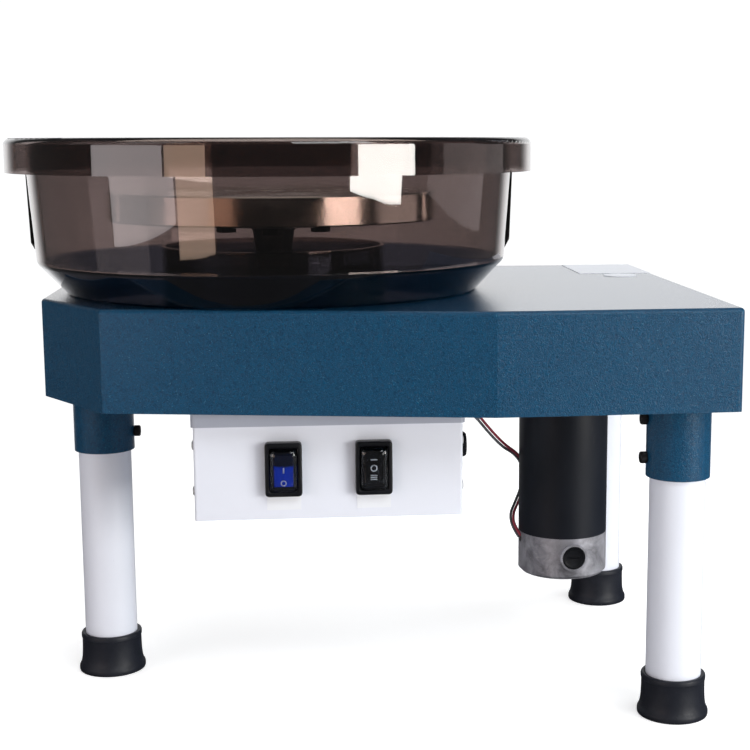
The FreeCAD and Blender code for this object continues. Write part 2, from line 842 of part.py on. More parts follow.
def make_end_bell(axis, inner):
    """The bare aluminium end bell with a boss for each brush, the brushes and caps."""
    boss_face = D.motor_radius + D.brush_boss_proud
    boss_root = D.motor_radius - D.brush_boss_root
    pocket_floor = D.bell_base + D.bell_floor
    seat_top = D.bell_base + D.bell_bearing_seat
    bell = new_body("motor_end_bell")
    turn_profile(bell, [
        (ZERO, D.bell_base), (D.motor_radius - D.bell_chamfer, D.bell_base),
        (D.motor_radius, D.bell_base + D.bell_chamfer), (D.motor_radius, D.bell_top),
        (inner, D.bell_top), (inner, seat_top), (D.motor_bearing_radius, seat_top),
        (D.motor_bearing_radius, pocket_floor), (ZERO, pocket_floor),
    ])
    for backwards in (False, True):
        side = -1 if backwards else 1
        boss = new_sketch(bell, "XZ", boss_root * side)
        circle(boss, ZERO, D.brush_height, D.brush_boss_radius)
        pad(bell, boss, boss_face - boss_root, backwards=backwards)
        hole = new_sketch(bell, "XZ", boss_face * side)
        circle(hole, ZERO, D.brush_height, D.brush_cap_radius)
        pocket(bell, hole, boss_face - boss_root + 2, backwards=backwards)
    notch = new_sketch(bell, "YZ", -D.motor_radius - 1)
    circle(notch, ZERO, D.bell_top - 5, D.wire_notch)
    pocket(bell, notch, D.motor_wall + 3, backwards=True)
    turn = FreeCAD.Rotation(FreeCAD.Vector(0, 0, 1), D.brush_turn.value)
    place(bell, axis, rotation=turn)
    caps = new_body("brush_caps")
    brushes = new_body("motor_brushes")
    for backwards in (False, True):
        side = -1 if backwards else 1
        cap = new_sketch(caps, "XZ", boss_root * side)
        circle(cap, ZERO, D.brush_height, D.brush_cap_radius)
        pad(caps, cap, boss_face - boss_root - D.brush_cap_recess, backwards=backwards)
        slot = new_sketch(caps, "XZ", (boss_face - D.brush_cap_recess) * side)
        rectangle(slot, ZERO, D.brush_height, D.brush_cap_slot_long, D.brush_cap_slot_wide)
        pocket(caps, slot, D.brush_cap_slot_deep, backwards=backwards)
        brush_face = D.commutator_radius + D.brush_air
        brush = new_sketch(brushes, "XZ", brush_face * side)
        rectangle(brush, ZERO, D.brush_height, D.brush_size, D.brush_size)
        pad(brushes, brush, boss_root - brush_face, backwards=backwards)
    place(caps, axis, rotation=turn)
    place(brushes, axis, rotation=turn)


def make_rotor():
    """Motor shaft, armature, commutator and the small pulley."""
    axis = D.wheel_x + D.motor_reach
    turned("motor_shaft", [
        (ZERO, D.bell_base + D.shaft_end), (D.shaft_radius, D.bell_base + D.shaft_end),
        (D.shaft_radius, D.shaft_top - D.shaft_chamfer),
        (D.shaft_radius - D.shaft_chamfer, D.shaft_top),
        (ZERO, D.shaft_top),
    ], axis)
    turned("motor_armature", [
        (D.shaft_radius, D.armature_base),
        (D.armature_radius - D.winding_taper, D.armature_base),
        (D.armature_radius, D.armature_core_base), (D.armature_radius, D.armature_core_top),
        (D.armature_radius - D.winding_taper, D.armature_top),
        (D.shaft_radius, D.armature_top),
    ], axis)
    turned("motor_commutator", ring(D.shaft_radius, D.commutator_radius,
                                    D.commutator_base, D.commutator_top), axis)
    low = D.pulley_base
    high = D.pulley_base + D.pulley_width
    lip = D.small_seat + D.pulley_lip
    turned("motor_pulley", [
        (D.shaft_radius, low), (lip, low), (lip, low + D.pulley_flange),
        (D.small_seat, low + D.pulley_flange), (D.small_seat, high - D.pulley_flange),
        (lip, high - D.pulley_flange), (lip, high), (D.shaft_radius, high),
    ], axis)


def belt_path(large, small, distance):
    """Closed wire of an open belt round two pulleys, the large one at the origin."""
    lean = math.asin((large - small) / distance)
    sine, cosine = math.sin(lean), math.cos(lean)
    vector = FreeCAD.Vector
    large_top = vector(large * sine, large * cosine, 0)
    small_top = vector(distance + small * sine, small * cosine, 0)
    large_low = vector(large_top.x, -large_top.y, 0)
    small_low = vector(small_top.x, -small_top.y, 0)
    edges = [
        Part.LineSegment(large_top, small_top).toShape(),
        Part.Arc(small_top, vector(distance + small, 0, 0), small_low).toShape(),
        Part.LineSegment(small_low, large_low).toShape(),
        Part.Arc(large_low, vector(-large, 0, 0), large_top).toShape(),
    ]
    return Part.Wire(edges)


def make_belt():
    """The flat drive belt, a closed band between two tangent paths."""
    inner = D.belt_gap.value
    outer = inner + D.belt_thick.value
    large, small = D.large_seat.value, D.small_seat.value
    distance = D.motor_reach.value
    face = Part.Face([
        belt_path(large + outer, small + outer, distance),
        belt_path(large + inner, small + inner, distance),
    ])
    face.validate()
    belt = doc.addObject("Part::Feature", "drive_belt")
    belt.Shape = face.extrude(FreeCAD.Vector(0, 0, D.belt_width.value))
    belt.Label = "drive_belt"
    rise = D.pulley_base + (D.pulley_width - D.belt_width) / 2
    place(belt, D.wheel_x, ZERO, rise)
    SUB_PARTS.append(belt)


# ---------------------------------------------------------------- switch box

def box_middle():
    """Centre of the switch box in plan, from the wheel axis."""
    return (D.box_left + D.box_right) / 2, (D.box_front + D.box_back) / 2


def make_box():
    """The box's tray, its lid, its side screws and the two straps that hang it."""
    middle_x, middle_y = box_middle()
    long, deep = D.box_right - D.box_left, D.box_back - D.box_front
    case = new_body("control_box_case")
    sketch = new_sketch(case, "XY", D.box_base)
    rectangle(sketch, middle_x, middle_y, long, deep)
    pad(case, sketch, D.box_top - D.box_base)
    round_edges(case, D.case_corner, lambda edge: edge.BoundBox.ZLength > 10)
    hollow(case, D.box_sheet, lambda face: is_at_height(face, D.box_top.value))
    windows = new_sketch(case, "XZ", -D.box_front)
    for reach in (D.switch_one, D.switch_two):
        rectangle(windows, reach, D.switch_height, D.barrel_wide, D.barrel_tall)
    pocket(case, windows, D.box_sheet)
    side_holes = new_sketch(case, "YZ", D.box_right)
    circle(side_holes, D.socket_reach, D.socket_height, D.socket_barrel)
    circle(side_holes, D.gland_reach, D.gland_height, D.gland_neck)
    pocket(case, side_holes, D.box_sheet)
    inlet_hole = new_sketch(case, "XZ", -D.box_back)
    rectangle(inlet_hole, D.switch_one, D.switch_height, D.inlet_wide, D.inlet_tall)
    pocket(case, inlet_hole, D.box_sheet, backwards=True)
    studs = new_sketch(case, "XY", D.box_base + D.box_sheet)
    for x in (-D.stud_x, D.stud_x):
        for y in (-D.stud_y, D.stud_y):
            circle(studs, middle_x + x, middle_y + D.board_offset + y, D.stud_radius)
    pad(case, studs, D.board_height - D.box_base - D.box_sheet)
    place(case, D.wheel_x)

    cover = new_body("control_box_cover")
    sketch = new_sketch(cover, "XY", D.cover_skirt)
    rectangle(sketch, middle_x, middle_y, long + D.box_sheet * 2, deep + D.box_sheet * 2)
    pad(cover, sketch, D.box_top + D.box_sheet - D.cover_skirt)
    round_edges(cover, D.cover_corner, lambda edge: edge.BoundBox.ZLength > 10)
    hollow(cover, D.box_sheet, lambda face: is_at_height(face, D.cover_skirt.value))
    place(cover, D.wheel_x)

    screws = new_body("control_box_screws")
    for start, backwards in ((D.box_left, True), (D.box_right, False)):
        sketch = new_sketch(screws, "YZ", start)
        for height in (D.side_screw_high, D.side_screw_low):
            circle(sketch, D.side_screw_front, height, D.side_screw_radius)
            circle(sketch, D.side_screw_rear, height - D.side_screw_drop, D.side_screw_radius)
        pad(screws, sketch, D.side_screw_head, backwards=backwards)
    place(screws, D.wheel_x)

    straps = new_body("box_hangers")
    low = D.box_top + D.box_sheet
    high = D.body_top - D.body_sheet
    sheet_thick = D.strap_sheet
    for x, turn in ((D.box_left + D.strap_inset, 1), (D.box_right - D.strap_inset, -1)):
        sketch = new_sketch(straps, "XZ", -D.strap_front)
        foot = x + D.strap_foot * turn
        inner = x + sheet_thick * turn
        outline(sketch, [
            (x, low), (foot, low), (foot, low + sheet_thick), (inner, low + sheet_thick),
            (inner, high - sheet_thick), (foot, high - sheet_thick), (foot, high), (x, high),
        ])
        pad(straps, sketch, D.strap_wide)
    place(straps, D.wheel_x)


# Transformer, heat sink and relay: place from the board's middle, then wide, deep and tall.
BOARD_BLOCKS = (
    (-42, -4, 34, 40, 30),
    (6, 22, 44, 10, 34),
    (46, -2, 22, 26, 16),
)
CAPACITORS = (-6, 16)


def make_board():
    """The speed controller: a board and the parts soldered on it."""
    middle_x, middle_y = box_middle()
    board = new_body("controller_board")
    sketch = new_sketch(board, "XY", D.board_height)
    rectangle(sketch, middle_x, middle_y + D.board_offset, D.board_long, D.board_wide)
    pad(board, sketch, D.board_thick)
    place(board, D.wheel_x)
    parts = new_body("board_components")
    top = D.board_height + D.board_thick
    for x, y, wide, deep, tall in BOARD_BLOCKS:
        sketch = new_sketch(parts, "XY", top)
        rectangle(sketch, middle_x + x, middle_y + D.board_offset + y,
                  as_size(wide), as_size(deep))
        pad(parts, sketch, as_size(tall))
    cans = new_sketch(parts, "XY", top)
    for x in CAPACITORS:
        circle(cans, middle_x + x, middle_y, D.capacitor_radius)
    pad(parts, cans, D.capacitor_tall)
    place(parts, D.wheel_x)


def make_switch(name, reach, rest_tilt):
    """One panel switch: housing with a raised frame, rocker on a pin, and clear boot."""
    face = -D.box_front
    front = face + D.bezel_proud
    shelf = face + D.rocker_pivot
    housing = new_body(f"{name}_switch_housing")
    frame = new_sketch(housing, "XZ", face)
    rectangle(frame, ZERO, D.switch_height, D.bezel_wide, D.bezel_tall)
    pad(housing, frame, D.bezel_proud)
    round_edges(housing, D.bezel_corner, lambda edge: edge.BoundBox.YLength > 5)
    barrel = new_sketch(housing, "XZ", face)
    rectangle(barrel, ZERO, D.switch_height, D.barrel_wide, D.barrel_tall)
    pad(housing, barrel, D.barrel_deep, backwards=True)
    window = new_sketch(housing, "XZ", front)
    rectangle(window, ZERO, D.switch_height, D.window_wide, D.window_tall)
    pocket(housing, window, D.bezel_proud - D.rocker_pivot)
    well = new_sketch(housing, "XZ", shelf)
    rectangle(well, ZERO, D.switch_height, D.well_wide, D.well_tall)
    pocket(housing, well, D.barrel_deep - D.well_floor)
    pin_hole = new_sketch(housing, "YZ", -D.well_wide / 2 - 2)
    circle(pin_hole, D.box_front + D.rocker_pivot, D.switch_height,
           D.rocker_pin_radius + D.running_gap)
    pocket(housing, pin_hole, D.well_wide + 4, backwards=True)
    place(housing, D.wheel_x + reach)

    rocker = new_body(f"{name}_rocker")
    half = D.rocker_tall / 2
    dish = D.rocker_dish - D.rocker_face
    profile = new_sketch(rocker, "YZ", -D.rocker_wide / 2)
    outline(profile, [
        (-D.rocker_face, -half), (dish, -D.rocker_flat), (dish, D.rocker_flat),
        (-D.rocker_face, half), (-D.rocker_skirt, half), (D.rocker_heel, D.rocker_heel),
        (D.rocker_heel, -D.rocker_heel), (-D.rocker_skirt, -half),
    ])
    pad(rocker, profile, D.rocker_wide)
    pin = new_sketch(rocker, "YZ", -D.well_wide / 2 - 1.5)
    circle(pin, ZERO, ZERO, D.rocker_pin_radius)
    pad(rocker, pin, D.well_wide + 3)
    tilt = FreeCAD.Rotation(FreeCAD.Vector(1, 0, 0), rest_tilt)
    place(rocker, D.wheel_x + reach, D.box_front + D.rocker_pivot, D.switch_height, tilt)

    boot = new_body(f"{name}_boot")
    cap = new_sketch(boot, "XZ", shelf)
    rectangle(cap, ZERO, D.switch_height, D.window_wide - 0.2, D.window_tall - 0.2)
    rise = D.bezel_proud - D.rocker_pivot + D.boot_dome
    pad(boot, cap, rise)
    round_edges(boot, D.boot_corner, lambda edge: edge.BoundBox.YMax < -front.value - 0.01)
    inside = new_sketch(boot, "XZ", shelf)
    wall = D.boot_wall * 2 + 0.2
    rectangle(inside, ZERO, D.switch_height, D.window_wide - wall, D.window_tall - wall)
    pocket(boot, inside, rise - D.boot_wall, backwards=True)
    place(boot, D.wheel_x + reach)


def make_box_fittings():
    """Blank labels, pedal socket, mains inlet and the gland for the motor wires."""
    labels = new_body("switch_labels")
    sketch = new_sketch(labels, "XZ", -D.box_front)
    below = D.switch_height - D.bezel_tall / 2 - D.label_tall / 2 - D.label_gap
    for reach in (D.switch_one, D.switch_two):
        rectangle(sketch, reach, below, D.label_wide, D.label_tall)
    pad(labels, sketch, D.label_thick)
    place(labels, D.wheel_x)
    side = D.wheel_x + D.box_right
    turned("pedal_socket", [
        (ZERO, -D.socket_barrel_deep), (D.socket_barrel, -D.socket_barrel_deep),
        (D.socket_barrel, ZERO), (D.socket_nut_radius, ZERO),
        (D.socket_nut_radius, D.socket_nut_face - D.socket_nut_edge),
        (D.socket_nut_radius - D.socket_nut_edge, D.socket_nut_face),
        (D.socket_bore, D.socket_nut_face), (D.socket_bore, -D.socket_bore_deep),
        (ZERO, -D.socket_bore_deep),
    ], side, D.socket_reach, D.socket_height, TURN_Z_TO_X)
    turned("cable_gland", [
        (ZERO, -D.gland_tail), (D.gland_neck, -D.gland_tail), (D.gland_neck, ZERO),
        (D.gland_radius, ZERO), (D.gland_radius, D.gland_length - D.gland_neck),
        (D.gland_radius - D.edge_break, D.gland_length), (ZERO, D.gland_length),
    ], side, D.gland_reach, D.gland_height, TURN_Z_TO_X)
    turned("earth_terminal", [
        (ZERO, ZERO), (D.earth_washer_radius, ZERO), (D.earth_washer_radius, D.edge_break),
        (D.earth_nut_radius, D.edge_break), (D.earth_nut_radius, D.earth_nut_top),
        (D.earth_stud_radius, D.earth_nut_top), (D.earth_stud_radius, D.earth_stud_top),
        (ZERO, D.earth_stud_top),
    ], side + D.box_sheet, D.earth_reach, D.earth_height, TURN_Z_TO_X)
    inlet = new_body("mains_inlet")
    flange = new_sketch(inlet, "XZ", -D.box_back)
    rectangle(flange, D.switch_one, D.switch_height, D.inlet_flange_wide, D.inlet_flange_tall)
    pad(inlet, flange, D.inlet_flange, backwards=True)
    block = new_sketch(inlet, "XZ", -D.box_back)
    rectangle(block, D.switch_one, D.switch_height, D.inlet_wide, D.inlet_tall)
    pad(inlet, block, D.inlet_deep)
    mouth = new_sketch(inlet, "XZ", -D.box_back - D.inlet_flange)
    rectangle(mouth, D.switch_one, D.switch_height, D.inlet_mouth_wide, D.inlet_mouth_tall)
    pocket(inlet, mouth, D.inlet_mouth_deep, backwards=True)
    place(inlet, D.wheel_x)


# ---------------------------------------------------------------- splash basin

def basin_section():
    """Half section of the basin: collar, floor, wall and hollow turned-down lip."""
    bottom = D.body_top + D.basin_gap
    wall = D.basin_wall
    inner_wall = D.basin_wall_radius - wall
    lip_inner = D.basin_lip_radius - wall
    under_lip = D.basin_top - wall
    return [
        (D.collar_radius - wall, bottom), (D.basin_floor_radius, bottom),
        (D.basin_knee_radius, D.basin_knee_height), (D.basin_wall_radius, D.basin_lip_base),
        (D.basin_wall_radius, under_lip), (lip_inner, under_lip),
        (lip_inner, D.basin_lip_base), (D.basin_lip_radius, D.basin_lip_base),
        (D.basin_lip_radius, D.basin_top), (inner_wall, D.basin_top),
        (inner_wall, D.basin_lip_base),
        (D.basin_knee_radius - wall, D.basin_knee_height + D.basin_wall_lean),
        (D.basin_floor_radius - D.basin_wall_lean, bottom + wall),
        (D.collar_radius, bottom + wall),
        (D.collar_radius, D.collar_top), (D.collar_radius - wall, D.collar_top),
    ]


def rib_outline(side):
    """The clamping rib up one end of a half: side is 1 for +X and -1 for -X."""
    proud = D.basin_wall_radius + D.rib_proud
    inside = D.basin_wall_radius - D.basin_wall + D.rib_bite
    low = D.rib_base
    return [
        (D.basin_knee_radius * side, low),
        ((D.basin_knee_radius + D.rib_root) * side, low),
        ((proud - D.rib_taper) * side, low + D.rib_step), (proud * side, D.basin_lip_base),
        (inside * side, D.basin_lip_base), ((D.basin_knee_radius - D.rib_taper) * side, low),
    ]


def make_basin_half(label, backwards):
    """One half of the basin with a rib at each end of the split."""
    side = -1 if backwards else 1
    body = new_body(label)
    turn_profile(body, basin_section(), angle=180, backwards=backwards)
    for end in (-1, 1):
        rib = new_sketch(body, "XZ")
        outline(rib, rib_outline(end))
        pad(body, rib, D.rib_thick, backwards=not backwards)
    rounded = (
        (D.basin_lip_radius.value, D.basin_top.value, D.lip_round),
        (D.basin_knee_radius.value, D.basin_knee_height.value, D.knee_round),
        (D.basin_floor_radius.value, D.body_top.value + D.basin_gap.value, D.floor_round),
    )
    for radius, height, size in rounded:
        round_edges(body, size, lambda edge: is_arc_at(edge, radius, height))
    place(body, D.wheel_x, D.split_half * side)


def is_arc_at(edge, radius, height):
    """Whether an edge is a level arc of the given radius at the given height."""
    curve = edge.Curve
    if not isinstance(curve, Part.Circle) or not is_at_height(edge, height):
        return False
    return abs(curve.Radius - radius) < 0.01


def make_basin():
    """Both basin halves and the sealing strips along the split."""
    make_basin_half("basin_rear_half", backwards=False)
    make_basin_half("basin_front_half", backwards=True)
    seals = new_body("basin_seals")
    for side in (-1, 1):
        sketch = new_sketch(seals, "XZ", -D.split_half)
        section = basin_section()
        below_lip = section[:4] + section[10:]
        outline(sketch, [(x * side, z) for x, z in below_lip])
        pad(seals, sketch, D.seal_thick)
    place(seals, D.wheel_x)


def make_stickers():
    """A blank rating plate and a blank round sticker on the body's top."""
    body = new_body("top_stickers")
    sketch = new_sketch(body, "XY", D.body_top)
    rectangle(sketch, D.sticker_reach, D.plate_sticker_half,
              D.plate_sticker_wide, D.plate_sticker_deep)
    circle(sketch, D.sticker_reach, D.round_sticker_half, D.round_sticker_radius)
    pad(body, sketch, D.label_thick)
    place(body, D.wheel_x)


# ---------------------------------------------------------------- motor wires

# The wires' shared route from the gland to the end bell, from the wheel axis: straight out
# of the gland, down in a slack curve, behind the can and round into the notch in the bell.
WIRE_ROUTE = [
    (139.5, -10.0, 210.0),
    (147.5, -10.0, 210.0),
    (156.0, -9.5, 200.0),
    (168.0, -6.5, 185.0),
    (180.0, 0.5, 172.0),
    (190.0, 12.5, 162.5),
    (196.0, 25.0, 149.0),
    (197.0, 29.0, 133.0),
    (192.5, 20.0, 120.0),
    (187.5, 8.0, 114.5),
    (187.3, -0.3, 106.5),
    (192.6, -3.1, 98.6),
]

# How far the red wire lies from that route at each point; the black one lies opposite.
WIRE_SPREAD = [
    (0.0, 0.0, 1.3),
    (0.5, 0.0, 1.3),
    (1.0, 0.0, 0.85),
    (0.95, 0.1, 0.9),
    (1.0, -0.2, 0.8),
    (1.15, -0.5, 0.3),
    (1.2, -0.45, 0.0),
    (1.25, -0.3, -0.1),
    (1.2, -0.5, 0.0),
    (1.2, -0.4, 0.1),
    (0.72, -0.78, 0.75),
    (0.72, -0.78, 0.75),
]


def rounded_route(points):
    """A wire of straight runs joined by tangent arcs, and each arc's radius."""
    edges = []
    radii = []
    start = points[0]
    for before, corner, after in zip(points, points[1:], points[2:]):
        into, out = corner - before, after - corner
        turn = into.getAngle(out)
        reach = 0.45 * min(into.Length, out.Length)
        radii.append(reach / math.tan(turn / 2))
        into.normalize()
        out.normalize()
        arc_start = corner - into * reach
        arc_end = corner + out * reach
        bisector = out - into
        bisector.normalize()
        depth = radii[-1] * (1 / math.cos(turn / 2) - 1)
        edges.append(Part.LineSegment(start, arc_start).toShape())
        edges.append(Part.Arc(arc_start, corner + bisector * depth, arc_end).toShape())
        start = arc_end
    edges.append(Part.LineSegment(start, points[-1]).toShape())
    return Part.Wire(edges), radii


def make_wire(label, side):
    """One motor wire as a round tube beside the shared route."""
    points = [
        FreeCAD.Vector(*middle) + FreeCAD.Vector(*spread) * side
        for middle, spread in zip(WIRE_ROUTE, WIRE_SPREAD)
    ]
    path, radii = rounded_route(points)
    section = Part.Circle(points[0], points[1] - points[0], D.wire_radius.value)
    profile = Part.Wire([section.toShape()])
    wire = doc.addObject("Part::Feature", label)
    wire.Shape = path.makePipeShell([profile], True, True)
    wire.Label = label
    place(wire, D.wheel_x)
    SUB_PARTS.append(wire)
    expected = math.pi * D.wire_radius.value ** 2 * path.Length
    print(label, "length", round(path.Length, 1), "volume ratio",
          round(wire.Shape.Volume / expected, 4), "radii", [round(r, 1) for r in radii])


# ---------------------------------------------------------------- assembly and export

def check_document():
    """Stop if any object failed or a cut removed nothing."""
    for item in doc.Objects:
        if "Invalid" in item.State or "Error" in item.State:
            raise RuntimeError(f"{item.Name} failed: {item.State}")
        if item.TypeId in ("PartDesign::Pocket", "PartDesign::Groove"):
            removed = item.BaseFeature.Shape.Volume - item.Shape.Volume
            if removed < 0.01:
                raise RuntimeError(f"{item.Name} cuts nothing")
    for item in SUB_PARTS:
        if item.Shape.isNull() or not item.Shape.isValid():
            raise RuntimeError(f"{item.Label} has no valid shape")


def export_parts():
    """Write one STEP file for each sub-part."""
    for item in SUB_PARTS:
        item.Shape.exportStep(f"parts/{item.Label}.step")
        box = item.Shape.BoundBox
        print(f"{item.Label:24s} solids {len(item.Shape.Solids)} volume {item.Shape.Volume:10.0f}"
              f" x {box.XMin:7.1f} {box.XMax:7.1f} y {box.YMin:7.1f} {box.YMax:7.1f}"
              f" z {box.ZMin:6.1f} {box.ZMax:6.1f}")


make_body_shell()
for leg_name, (leg_reach, leg_half, leg_screw_side) in LEGS.items():
    make_leg(leg_name, leg_reach, leg_half, leg_screw_side)
make_lock_screws()
make_bearing_housing()
make_wheel_head()
make_hub()
make_large_pulley()
make_motor_case()
make_rotor()
make_belt()
make_box()
make_board()
make_switch("power", D.switch_one, 7)
make_switch("direction", D.switch_two, 0)
make_box_fittings()
make_basin()
make_stickers()
make_wire("motor_wire_red", 1)
make_wire("motor_wire_black", -1)
doc.recompute()
check_document()
export_parts()
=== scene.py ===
"""Looks of a table-top pottery wheel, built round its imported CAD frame.

Everything ends up in metres in the CAD's own frame: +Z up, the floor at Z = 0, +X from the
wheel end to the motor end, -Y towards the potter. Sizes of small pieces are in millimetres
where a comment or a docstring says so, and are multiplied by MM.
"""
import math

import bmesh
import bpy
from mathutils import Matrix, Vector


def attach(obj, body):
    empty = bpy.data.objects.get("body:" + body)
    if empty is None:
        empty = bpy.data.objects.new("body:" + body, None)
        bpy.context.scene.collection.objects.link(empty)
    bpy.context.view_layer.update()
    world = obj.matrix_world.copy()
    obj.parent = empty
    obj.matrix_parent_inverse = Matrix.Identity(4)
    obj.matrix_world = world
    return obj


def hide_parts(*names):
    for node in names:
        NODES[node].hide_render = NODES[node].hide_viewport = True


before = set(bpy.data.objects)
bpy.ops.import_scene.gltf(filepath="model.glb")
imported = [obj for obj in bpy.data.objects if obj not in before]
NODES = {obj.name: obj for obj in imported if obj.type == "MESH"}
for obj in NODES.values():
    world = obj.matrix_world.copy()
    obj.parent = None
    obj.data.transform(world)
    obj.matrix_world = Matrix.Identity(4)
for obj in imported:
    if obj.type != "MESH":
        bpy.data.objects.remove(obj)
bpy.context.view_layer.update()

MM = 0.001

# In metres: the wheel's axis, the motor's axis, and the height where the basin's wall
# turns in to its sloping base.
WHEEL_X = -0.061
MOTOR_X = 0.1665
BASIN_KNEE = 0.325

# In mm: the switches' middles, and the switch box's front and two sides.
POWER_X = -55.4
DIRECTION_X = 8.0
SWITCH_Z = 186.3
BOX_FRONT = -125.0
BOX_SIDE = 71.5
BOX_FAR_SIDE = -118.0


# ---------------------------------------------------------------- materials

# The Mix node's sockets for colours, which share their names with those for other types.
MIX_COLOUR_INPUTS = (6, 7)
MIX_COLOUR_OUTPUT = 2


def set_range(node, low, high, to_low, to_high):
    """Write the four limits of a Map Range node."""
    limits = (("From Min", low), ("From Max", high), ("To Min", to_low), ("To Max", to_high))
    for socket, limit in limits:
        node.inputs[socket].default_value = limit


def shade(colour, factor):
    """A darker tone of a colour."""
    return tuple(channel * factor for channel in colour)


class Finish:
    """One procedural material, with short calls for the nodes it is made of."""

    def __init__(self, name):
        self.material = bpy.data.materials.new(name)
        self.material.use_nodes = True
        self.tree = self.material.node_tree
        self.shader = self.tree.nodes["Principled BSDF"]
        self.place = self.tree.nodes.new("ShaderNodeTexCoord").outputs["Object"]

    def fill(self, socket, value):
        """Link an output to a socket, or write a plain value into it."""
        if isinstance(value, bpy.types.NodeSocket):
            self.tree.links.new(value, socket)
        elif value is not None:
            socket.default_value = value

    def set(self, **values):
        """Set the shader's own sockets, written with _ for each space."""
        for name, value in values.items():
            title = name.replace("_", " ")
            if isinstance(value, tuple) and len(value) == 3:
                value = (*value, 1.0)
            self.fill(self.shader.inputs[title], value)
        return self

    def stretched(self, scale):
        """The object's coordinates, stretched along each axis."""
        node = self.tree.nodes.new("ShaderNodeMapping")
        self.fill(node.inputs["Vector"], self.place)
        node.inputs["Scale"].default_value = scale
        return node.outputs["Vector"]

    def noise(self, scale, detail=3.0, roughness=0.5, distortion=0.0, at=None):
        """Cloudy noise, with scale cycles to the metre."""
        node = self.tree.nodes.new("ShaderNodeTexNoise")
        self.fill(node.inputs["Vector"], at or self.place)
        node.inputs["Scale"].default_value = scale
        node.inputs["Detail"].default_value = detail
        node.inputs["Roughness"].default_value = roughness
        node.inputs["Distortion"].default_value = distortion
        return node.outputs["Fac"]

    def cells(self, scale):
        """Distance to the nearest of many scattered points."""
        node = self.tree.nodes.new("ShaderNodeTexVoronoi")
        self.fill(node.inputs["Vector"], self.place)
        node.inputs["Scale"].default_value = scale
        return node.outputs["Distance"]

    def span(self, value, low, high, to_low=0.0, to_high=1.0):
        """Stretch part of a value's range onto another range, clamped."""
        node = self.tree.nodes.new("ShaderNodeMapRange")
        self.fill(node.inputs["Value"], value)
        set_range(node, low, high, to_low, to_high)
        return node.outputs["Result"]

    def maths(self, operation, first, second=None):
        """One step of arithmetic."""
        node = self.tree.nodes.new("ShaderNodeMath")
        node.operation = operation
        self.fill(node.inputs[0], first)
        self.fill(node.inputs[1], second)
        return node.outputs[0]

    def blend(self, factor, first, second):
        """Mix two colours."""
        node = self.tree.nodes.new("ShaderNodeMix")
        node.data_type = "RGBA"
        self.fill(node.inputs["Factor"], factor)
        for index, colour in zip(MIX_COLOUR_INPUTS, (first, second)):
            colour = (*colour, 1.0) if isinstance(colour, tuple) else colour
            self.fill(node.inputs[index], colour)
        return node.outputs[MIX_COLOUR_OUTPUT]

    def bump(self, height, distance, strength=1.0, under=None):
        """A bump of the given height in metres, laid over another bump."""
        node = self.tree.nodes.new("ShaderNodeBump")
        self.fill(node.inputs["Height"], height)
        node.inputs["Distance"].default_value = distance
        node.inputs["Strength"].default_value = strength
        self.fill(node.inputs["Normal"], under)
        return node.outputs["Normal"]

    def upward(self):
        """How far the surface faces up, from -1 to 1."""
        parts = self.tree.nodes.new("ShaderNodeSeparateXYZ")
        normal = self.tree.nodes.new("ShaderNodeNewGeometry").outputs["True Normal"]
        self.fill(parts.inputs[0], normal)
        return parts.outputs["Z"]

    def axis_distance(self, x):
        """Distance from an upright axis through (x, 0)."""
        parts = self.tree.nodes.new("ShaderNodeSeparateXYZ")
        self.fill(parts.inputs[0], self.place)
        across = self.maths("SUBTRACT", parts.outputs["X"], x)
        along = parts.outputs["Y"]
        squares = self.maths("ADD", self.maths("MULTIPLY", across, across),
                             self.maths("MULTIPLY", along, along))
        return self.maths("SQRT", squares)

    def height(self):
        """Height of the surface at rest."""
        parts = self.tree.nodes.new("ShaderNodeSeparateXYZ")
        self.fill(parts.inputs[0], self.place)
        return parts.outputs["Z"]


def hammered_paint(name):
    """Teal powder coat with a fine wrinkled, sparkling grain."""
    f = Finish(name)
    grain = f.noise(560, 3, 0.62, 1.6)
    drift = f.noise(9, 2)
    wrinkle = f.span(grain, 0.34, 0.66)
    deep = f.blend(drift, (0.0014, 0.030, 0.074), (0.0021, 0.037, 0.088))
    colour = f.blend(wrinkle, deep, (0.0050, 0.070, 0.152))
    flecks = f.span(f.noise(1300, 2), 0.66, 0.72)
    colour = f.blend(f.maths("MULTIPLY", flecks, 0.6), colour, (0.06, 0.23, 0.34))
    normal = f.bump(grain, 0.0006, 0.75)
    f.set(Base_Color=colour, Roughness=f.span(grain, 0.3, 0.7, 0.36, 0.26), Normal=normal,
          Specular_IOR_Level=0.24, Coat_Weight=f.span(f.upward(), 0.5, 0.9, 0.12, 1.0),
          Coat_Roughness=0.2)
    return f.material


def white_paint(name, pale=(0.78, 0.81, 0.905)):
    """White powder coat with faint orange peel and the odd scuff."""
    f = Finish(name)
    peel = f.noise(700, 2)
    cloud = f.noise(14, 3)
    scuff = f.span(f.noise(160, 5, 0.7, at=f.stretched((1, 1, 0.15))), 0.66, 0.74)
    colour = f.blend(cloud, pale, shade(pale, 0.96))
    colour = f.blend(f.maths("MULTIPLY", scuff, 0.35), colour, shade(pale, 0.75))
    f.set(Base_Color=colour, Roughness=f.span(cloud, 0.3, 0.7, 0.30, 0.42),
          Normal=f.bump(peel, 0.00012, 0.25), Coat_Weight=0.25, Coat_Roughness=0.2)
    return f.material


def rubber(name, colour, dusty, grain=900):
    """Moulded rubber with a fine grain and a little dust."""
    f = Finish(name)
    fine = f.noise(grain, 3)
    dust = f.span(f.noise(45, 5, 0.65), 0.48, 0.72, 0.0, 0.4)
    f.set(Base_Color=f.blend(dust, colour, dusty),
          Roughness=f.span(fine, 0.3, 0.7, 0.42, 0.58),
          Normal=f.bump(fine, 0.0002, 0.35), Specular_IOR_Level=0.35)
    return f.material


